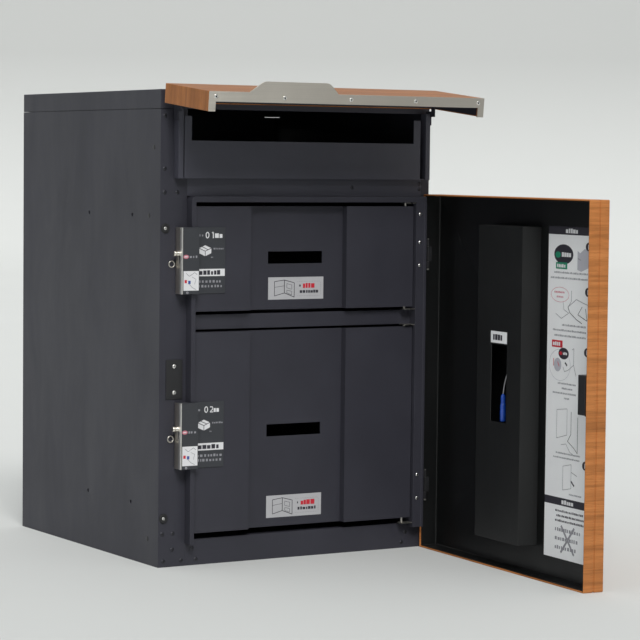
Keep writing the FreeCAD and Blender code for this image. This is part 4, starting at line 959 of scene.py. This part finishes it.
class MAILBOX_OT_fasteners(bpy.types.Operator):
    """Build the screws, bumpers, plugs and rings, and coat the strike plate and the catch"""

    bl_idname = "mail_box.fasteners"
    bl_label = "Fasteners"

    def execute(self, context):
        for node, name, rim in (("flange_screws", "flange_screw_heads", "dark_screw"),
                                ("jamb_screws", "jamb_screw_heads", "screw_rim"),
                                ("strike_screws", "keeper_screw_heads", "screw_rim")):
            self.heads(node, name, FRONT, "cabinet", None, cross_recess, rim, "black_paint")
        self.heads("lid_strip_screws", "strip_screw_heads", BELOW, "mail_lid", LID, hex_recess,
                   "screw_rim", "zinc")
        self.bumpers()
        self.plugs()
        self.rings()
        coat(["strike_plate"], "plastic", 0.4 * MM)
        coat(["catch_body"], "plastic", 0.5 * MM)
        return {"FINISHED"}

    def heads(self, node, name, axes, body, turn, recess, rim, slot):
        """One detailed head at each solid of a screw node."""
        skin = Skin()
        out = axes[2]
        for middle, size in solids(node, turn):
            height = abs(size @ out)
            radius = abs(size @ axes[0]) / 2
            screw_head(skin, middle - out * height / 2, axes, radius, height, recess)
        skin.piece(name, [finish(rim), finish("socket")], body, turn, slot, [node])

    def bumpers(self):
        """Rubber buffer with a screw at the bottom of its well."""
        skin = Skin()
        for middle, size in solids("door_bumpers"):
            radius = size[0] / 2
            height = size[1]
            foot = middle + Y * height / 2
            well = 0.35 * height
            corners = [(0.2 * radius, 0), (radius, 0), (0.88 * radius, height),
                       (0.45 * radius, height), (0.40 * radius, well), (0.05 * radius, well)]
            radii = [0, 0.9 * MM, 0.4 * MM, 0.2 * MM]
            skin.close(turned(foot, FRONT, bend(corners, radii)), 0)
            screw_head(skin, foot - Y * height * 0.34, FRONT, 0.36 * radius, 0.35 * height,
                       cross_recess, 1, 2)
        skin.piece("bumper_pads", [finish("rubber"), finish("screw_rim"), finish("socket")],
                   "cabinet", None, "rubber", ["door_bumpers"])

    def plugs(self):
        """Domed plug in each of the larger side holes."""
        skin = Skin()
        for middle, size in solids("hole_plugs"):
            left = middle[0] < 0
            axes = LEFT if left else RIGHT
            foot = middle - axes[2] * size[0] / 2
            radius = size[1] / 2
            share = np.linspace(0, 1, 7)
            dome = np.stack([radius * np.cos(share * 1.45), size[0] * np.sin(share * 1.45)], 1)
            skin.close(turned(foot, axes, dome, 24))
        skin.piece("plug_caps", [finish("plastic")], "cabinet", None, "black_plastic",
                   ["hole_plugs"])

    def rings(self):
        """Wire ring on the flange beside each knob."""
        skin = Skin()
        for middle, size in solids("keeper_rings"):
            wire = size[1] / 2
            radius = size[0] / 2 - wire
            angle = np.linspace(0, 2 * np.pi, 40, endpoint=False)
            path = middle + radius * (np.cos(angle)[:, None] * X + np.sin(angle)[:, None] * Z)
            outward = np.cos(angle)[:, None] * X + np.sin(angle)[:, None] * Z
            turn = np.linspace(0, 2 * np.pi, 14, endpoint=False)[:, None]
            ring = outward[:, None] * np.cos(turn) + Y * np.sin(turn)
            skin.wrap(path[:, None] + ring * wire)
        skin.piece("keeper_ring_wires", [finish("zinc")], "cabinet", None, "zinc",
                   ["keeper_rings"])


class MAILBOX_OT_hinges(bpy.types.Operator):
    """Coat the front door's hinges"""

    bl_idname = "mail_box.hinges"
    bl_label = "Door hinges"

    def execute(self, context):
        coat(["upper_hinge_jamb_leaf", "lower_hinge_jamb_leaf", "upper_hinge_door_leaf",
              "lower_hinge_door_leaf"], "plastic", 0.2 * MM)
        return {"FINISHED"}


class MAILBOX_OT_rear(bpy.types.Operator):
    """Coat the collection door and its lock"""

    bl_idname = "mail_box.rear"
    bl_label = "Collection door"

    def execute(self, context):
        coat(["rear_door"], "charcoal", context.scene.mail_box_folds.sheet_radius)
        coat(["rear_lock_body"], "zinc", 0.4 * MM)
        coat(["rear_lock_plug"], "knob", 0.3 * MM)
        return {"FINISHED"}


# ---------------------------------------------------------------- printed marks
class Print:
    """Marks on a flat face, in millimetres right of and below its upper left corner."""

    lift = 0.12

    def __init__(self, corner, axes, seed, inks):
        self.corner = corner
        self.axes = axes
        self.random = np.random.default_rng(seed)
        self.inks = inks
        self.skin = Skin()

    def piece(self, name, body, turn=None):
        """Make one object of all marks, with one material slot for each ink."""
        self.skin.piece(name, [finish(ink) for ink in self.inks], body, turn, None)

    def tile(self, outline, finish_index, level=1):
        """Thin closed tile whose outline is a ring of points."""
        along, up, out = self.axes
        outline = np.array(outline, float)
        base = self.corner + (outline[:, :1] * along - outline[:, 1:] * up) * MM
        heights = np.array([self.lift * (level - 1), self.lift * level]) * MM
        grid = base[None] + heights[:, None, None] * out
        self.skin.close(grid, finish_index)

    def bar(self, u, v, width, height, finish_index, level=1):
        """Rectangle from its upper left corner."""
        self.tile([(u, v), (u + width, v), (u + width, v + height), (u, v + height)], finish_index,
                  level)

    def line(self, start, end, width, finish_index, level=1):
        """Straight stroke of a given width."""
        start = np.array(start, float)
        end = np.array(end, float)
        direction = (end - start) / np.linalg.norm(end - start)
        side = np.array([-direction[1], direction[0]]) * width / 2
        self.tile([start + side, end + side, end - side, start - side], finish_index, level)

    def path(self, points, width, finish_index, level=1, close=False):
        """Strokes from point to point."""
        points = list(points) + (list(points[:1]) if close else [])
        for start, end in zip(points, points[1:]):
            self.line(start, end, width, finish_index, level)

    def disc(self, u, v, radius_u, radius_v, finish_index, level=1):
        """Filled ellipse."""
        angle = np.linspace(0, 2 * np.pi, 36, endpoint=False)
        self.tile(np.stack([u + radius_u * np.cos(angle), v + radius_v * np.sin(angle)], 1),
                  finish_index, level)

    def hoop(self, u, v, radius_u, radius_v, width, finish_index, level=1):
        """Outlined ellipse: four rings wrapped into one band."""
        along, up, out = self.axes
        angle = np.linspace(0, 2 * np.pi, 48, endpoint=False)
        rings = []
        for inset, height in ((0, 0), (0, 1), (width, 1), (width, 0)):
            ring = np.stack([u + (radius_u - inset) * np.cos(angle),
                             v + (radius_v - inset) * np.sin(angle)], 1)
            base = self.corner + (ring[:, :1] * along - ring[:, 1:] * up) * MM
            rings.append(base + out * (self.lift * (level - 1 + height)) * MM)
        self.skin.wrap(np.array(rings), finish_index)

    def words(self, u, v, length, height, finish_index, level=1, gap=0.35):
        """Row of short bars of uneven width that stands for a line of small print."""
        position = u
        while position < u + length - height:
            width = height * self.random.uniform(0.45, 1.0)
            rise = height * self.random.uniform(0.0, 0.25)
            self.bar(position, v + rise, width, height - rise, finish_index, level)
            position += width + height * gap * self.random.uniform(0.7, 1.6)

    def paragraph(self, rows, v, step, height, finish_index):
        """Lines of small print, each given by where it starts and how long it is."""
        for row, (start, length) in enumerate(rows):
            self.words(start, v + step * row, length, height, finish_index, 2)


class MAILBOX_OT_instruction_sheet(bpy.types.Operator):
    """Build the instruction sheet inside the front door"""

    bl_idname = "mail_box.instruction_sheet"
    bl_label = "Instruction sheet"

    # Sizes in millimetres: the sheet's two sides, and the gap between it and the tray.
    width = 117
    height = 442.7
    glue = 0.05

    def execute(self, context):
        tray_floor = closed_box("stamp_box", DOOR)[0][1]
        corner = CABINET_LOW + np.array([138.8, 0, 472.3]) * MM
        corner[1] = tray_floor + self.glue * MM
        sheet = Print(corner, INSIDE, 5, ["paper", "ink", "grey_ink", "pale_ink", "white_ink",
                                          "red_ink", "pink_ink", "green_ink"])
        paper, ink, grey, pale, white, red, pink, green = range(8)
        sheet.bar(0, 0, self.width, self.height, paper, 1)
        self.headings(sheet, ink, white)
        self.first_steps(sheet, ink, grey, pale, white, pink, green)
        self.last_steps(sheet, ink, grey, pale, white, red)
        self.notes(sheet, ink, grey)
        sheet.piece("instruction_sheet", "front_door", DOOR)
        return {"FINISHED"}

    def headings(self, sheet, ink, white):
        """Two dark bars with pale blocks, and the step discs down the side."""
        for level, height in ((0, 10.6), (361, 10.2)):
            sheet.bar(0, level, self.width, height, ink, 2)
            sheet.words(42, level + 2.2, 34, height - 4.4, white, 3, 0.2)
        for level in (25.3, 84.3, 163.3, 241.3, 312.3):
            sheet.disc(97.8, level, 7.5, 6.0, ink, 2)
            sheet.bar(96.2, level - 3.2, 3.2, 6.4, white, 3)

    def first_steps(self, sheet, ink, grey, pale, white, pink, green):
        """Round sign with a green dot, a parcel, a speech bubble and hands at a flap."""
        sheet.disc(37.4, 36.7, 23.2, 13.2, ink, 2)
        sheet.disc(23.7, 37.5, 6.4, 4.2, green, 3)
        sheet.words(33, 34, 24, 6, white, 3, 0.15)
        sheet.bar(19, 47.5, 27.5, 8.7, green, 3)
        sheet.words(22, 49.3, 22, 5.0, white, 4, 0.15)
        sheet.tile([(71, 31), (77, 34), (88, 28), (100, 31), (100, 52), (80, 58), (71, 56)],
                   pale, 2)
        sheet.line((72, 41), (79, 43), 1.2, grey, 3)
        sheet.paragraph(((15, 84), (6.6, 92)), 59.6, 7.2, 2.6, grey)
        sheet.hoop(30, 90.5, 22, 10.1, 0.6, pink, 2)
        sheet.words(16, 86, 28, 2.4, pink, 2)
        sheet.words(22, 92, 18, 2.4, pink, 2)
        sheet.path([(38, 100), (40, 110), (52, 114), (34, 122), (20, 116)], 0.8, grey, 2)
        sheet.path([(58, 84), (58, 98), (50, 106), (70, 95), (86, 99), (108, 103)], 0.9, grey, 2)
        sheet.path([(50, 106), (54, 113), (72, 122), (84, 126)], 1.0, ink, 2)
        sheet.path([(84, 104), (74, 115), (96, 122), (92, 106)], 0.9, ink, 2)
        sheet.paragraph(((36, 61), (14, 84), (18, 78)), 129, 7.2, 2.6, grey)

    def last_steps(self, sheet, ink, grey, pale, white, red):
        """Red tag, a dial seen close, and two drawings of an open door."""
        sheet.bar(12, 151.4, 26, 9.4, red, 2)
        sheet.words(14.5, 153.4, 22, 5.2, white, 3, 0.15)
        sheet.hoop(32, 184, 26, 21, 0.5, pale, 2)
        sheet.disc(41.3, 168.3, 12.5, 7.6, ink, 3)
        sheet.disc(34.5, 168.3, 3.6, 2.4, red, 4)
        sheet.words(40, 166.4, 11, 3.6, white, 4, 0.15)
        sheet.disc(27, 184, 9, 9, pale, 3)
        sheet.path([(17, 176), (17, 186)], 1.1, red, 3)
        sheet.path([(27, 180), (31, 186)], 1.1, red, 4)
        sheet.line((45, 180), (50, 184), 2.4, ink, 3)
        sheet.path([(40, 186), (44, 192), (52, 190), (66, 182), (66, 160), (62, 162)], 0.7,
                   grey, 3)
        sheet.path([(66, 182), (72, 196)], 0.7, grey, 3)
        sheet.paragraph(((28, 46), (38, 26), (16, 58), (44, 14)), 207, 6.5, 2.4, grey)
        sheet.path([(27, 244), (52, 241), (52, 276), (27, 282)], 0.7, grey, 2, True)
        sheet.path([(62, 244), (62, 274), (54, 284), (70, 292), (78, 298), (78, 250)], 0.8, ink, 2)
        sheet.path([(38, 290), (50, 288), (60, 298), (72, 302)], 0.7, grey, 2)
        sheet.paragraph(((26, 60), (20, 66)), 300, 6, 2.2, grey)
        sheet.path([(44, 318), (64, 314), (64, 346), (44, 350)], 0.7, grey, 2, True)
        sheet.path([(64, 324), (78, 328)], 0.9, grey, 2)
        sheet.line((64, 336), (72, 342), 2.2, ink, 3)
        sheet.words(60, 353, 30, 2.2, grey, 2)

    def notes(self, sheet, ink, grey):
        """Bulleted small print and a crossed-out paragraph."""
        for row in range(3):
            sheet.words(27 + 3 * (row % 2), 377 + 6.6 * row, 70, 3, ink, 2, 0.3)
        for level in (378.5, 391.5):
            sheet.disc(103, level, 2.2, 2.2, ink, 2)
        for row in range(3):
            sheet.words(27, 401 + 12 * row, 66 - 6 * row, 5, grey, 2, 0.35)
        sheet.line((42, 398), (74, 434), 3.4, grey, 3)
        sheet.line((74, 398), (42, 434), 3.4, grey, 4)


class MAILBOX_OT_door_labels(bpy.types.Operator):
    """Build the silver labels on the compartment doors and the label over the stamp's slot"""

    bl_idname = "mail_box.door_labels"
    bl_label = "Labels"

    def execute(self, context):
        for side, level in (("upper", 378.0), ("lower", 72.7)):
            self.silver(side, level)
        self.stamp_label()
        return {"FINISHED"}

    def silver(self, side, level):
        """Silver label with a drawing of an open door and a dotted frame."""
        width = 89.4
        height = 31
        corner = spot(170.6, 2.45, level + height / 2)
        label = Print(corner, FRONT, 11 if side == "upper" else 12,
                      ["silver", "ink", "grey_ink", "red_ink"])
        silver, ink, grey, red = range(4)
        label.bar(0, 0, width, height, silver, 1)
        label.path([(10, 6), (26, 4), (26, 22), (10, 26)], 0.8, ink, 2, True)
        label.path([(26, 4), (42, 8), (42, 28), (26, 22)], 0.9, ink, 2, True)
        label.path([(10, 14), (26, 12)], 0.5, ink, 2)
        label.path([(30, 9), (38, 11), (38, 17), (30, 15)], 0.5, ink, 2, True)
        label.path([(30, 18), (38, 20), (38, 25), (30, 22)], 0.5, ink, 2, True)
        for step in range(14):
            label.bar(47 + 2.7 * step, 6, 1.4, 0.5, grey, 2)
            label.bar(47 + 2.7 * step, 26, 1.4, 0.5, grey, 2)
        for step in range(7):
            label.bar(84.5, 7.5 + 2.7 * step, 0.5, 1.4, grey, 2)
        label.words(56, 8.5, 26, 7, red, 2, 0.1)
        label.words(50, 10.5, 4, 3, ink, 2)
        label.words(51, 18, 32, 4.4, ink, 2, 0.2)
        label.piece(f"{side}_slip_label", f"{side}_compartment_door")

    def stamp_label(self):
        """White label over the stamp's slot."""
        face = closed_box("stamp_box", DOOR)[1][1]
        corner = np.array([CABINET_LOW[0] + 241 * MM, face, 326 * MM])
        label = Print(corner, INSIDE, 3, ["paper", "ink"])
        label.bar(0, 0, 42, 16, 0, 1)
        label.words(6, 4, 32, 8, 1, 2, 0.12)
        label.piece("stamp_label", "front_door", DOOR)


class MAILBOX_OT_lock_prints(bpy.types.Operator):
    """Build the printed marks on the lock cases"""

    bl_idname = "mail_box.lock_prints"
    bl_label = "Lock prints"

    def execute(self, context):
        for number, side in enumerate(("upper", "lower")):
            self.case_marks(number, side)
            self.plate_marks(number, side)
        return {"FINISHED"}

    def case_marks(self, number, side):
        """White card, red oval and small marks on the case's front."""
        low, high = closed_box(f"{side}_lock_case")
        marks = Print(np.array([low[0], low[1], high[2]]), FRONT, 21 + number,
                      ["white_ink", "pink_ink", "red_ink", "blue_ink", "grey_ink", "socket"])
        white, pink, red, blue, grey, hollow = range(6)
        marks.bar(1.0, 58.9, 23.4, 26.5, white, 1)
        marks.bar(2.6, 71, 3.6, 4.2, red, 2)
        marks.bar(8.2, 72, 3.6, 4.4, blue, 2)
        marks.path([(5, 62), (10, 66), (18, 61), (22, 64)], 0.6, grey, 2)
        marks.path([(9, 76), (14, 81), (20, 84)], 0.6, grey, 2)
        marks.path([(14, 67), (20, 70), (18, 77)], 0.5, grey, 2)
        marks.disc(4.8, 39.6, 4.1, 2.7, pink, 1)
        marks.bar(2.4, 38.9, 4.6, 1.3, white, 2)
        marks.words(10.5, 38, 14, 3.2, grey, 1, 0.5)
        screw_head(marks.skin, np.array([low[0] + 7 * MM, low[1], high[2] - 88.3 * MM]), FRONT,
                   1.8 * MM, 0.8 * MM, cross_recess, grey, hollow)
        marks.piece(f"{side}_case_card", f"{side}_compartment_door")

    def plate_marks(self, number, side):
        """Compartment number, parcel sign, white bar and rows of small print."""
        low, high = closed_box(f"{side}_lock_case")
        corner = np.array([low[0] + 29 * MM, closed_box(f"{side}_inner_door")[0][1] - 1.2 * MM,
                           high[2]])
        marks = Print(corner, FRONT, 31 + number, ["white_ink", "ink", "grey_ink"])
        white, ink, grey = range(3)
        self.numeral(marks, number, white)
        marks.words(26, 8.4, 15, 6.2, white, 1, 0.15)
        marks.words(2, 9.5, 7, 3, grey, 1, 0.5)
        self.parcel(marks, white, ink)
        marks.words(24, 28, 18, 2.4, grey, 1, 0.4)
        marks.words(20, 40, 5, 1.8, grey, 1, 0.4)
        marks.bar(0.4, 56.8, 41.2, 9.9, white, 1)
        marks.words(1.6, 58.6, 39, 6.2, ink, 2, 0.18)
        marks.words(0.6, 71.8, 40, 3.8, grey, 1, 0.5)
        marks.words(0.6, 78.2, 40, 3.8, grey, 1, 0.5)
        marks.piece(f"{side}_plate_print", f"{side}_compartment_door")

    def numeral(self, marks, number, white):
        """Plain stroke numerals for the compartment's number."""
        marks.hoop(14.4, 10.8, 2.9, 4.4, 1.3, white, 1)
        if number == 0:
            marks.path([(21.4, 8.0), (23.4, 6.6), (23.4, 15.1)], 1.4, white, 1)
        else:
            marks.path([(20.2, 7.4), (24.4, 7.4), (24.4, 10.6), (20.4, 14.4), (25.0, 14.4)], 1.3,
                       white, 1)

    def parcel(self, marks, white, ink):
        """Solid white parcel with dark edges."""
        left, centre, right = 1.6, 11, 20.4
        top, shoulder, hip, foot = 24.6, 28.6, 35.4, 39.4
        marks.tile([(centre, top), (right, shoulder), (right, hip), (centre, foot), (left, hip),
                    (left, shoulder)], white, 1)
        for end in ((right, shoulder), (left, shoulder), (centre, foot)):
            marks.line((centre, 32.6), end, 0.8, ink, 2)
        marks.line((6.3, 26.6), (15.7, 30.7), 0.8, ink, 2)


OPERATORS = (
    MAILBOX_OT_stage, MAILBOX_OT_cabinet, MAILBOX_OT_inner_doors, MAILBOX_OT_door, MAILBOX_OT_lid,
    MAILBOX_OT_stamp_box, MAILBOX_OT_locks, MAILBOX_OT_fasteners, MAILBOX_OT_hinges,
    MAILBOX_OT_rear, MAILBOX_OT_instruction_sheet, MAILBOX_OT_door_labels,
    MAILBOX_OT_lock_prints,
)


class MAILBOX_PT_panel(bpy.types.Panel):
    """Lists the pieces of the mail and parcel box."""

    bl_label = "Mail and parcel box"
    bl_idname = "MAILBOX_PT_panel"
    bl_space_type = "VIEW_3D"
    bl_region_type = "UI"
    bl_category = "Mail box"

    def draw(self, context):
        for settings in ("mail_box_colours", "mail_box_folds", "mail_box_stage"):
            group = getattr(context.scene, settings)
            for name in group.bl_rna.properties.keys():
                if name not in ("rna_type", "name"):
                    self.layout.prop(group, name)
        for operator in OPERATORS:
            self.layout.operator(operator.bl_idname)


CLASSES = (Colours, Folds, Stage, *OPERATORS, MAILBOX_PT_panel)


def register():
    for item in CLASSES:
        bpy.utils.register_class(item)
    bpy.types.Scene.mail_box_colours = PointerProperty(type=Colours)
    bpy.types.Scene.mail_box_folds = PointerProperty(type=Folds)
    bpy.types.Scene.mail_box_stage = PointerProperty(type=Stage)


def unregister():
    for name in ("mail_box_colours", "mail_box_folds", "mail_box_stage"):
        delattr(bpy.types.Scene, name)
    for item in reversed(CLASSES):
        bpy.utils.unregister_class(item)


def main():
    """Register the add-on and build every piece."""
    register()
    for operator in OPERATORS:
        group, name = operator.bl_idname.split(".")
        getattr(getattr(bpy.ops, group), name)()


if __name__ == "__main__":
    main()
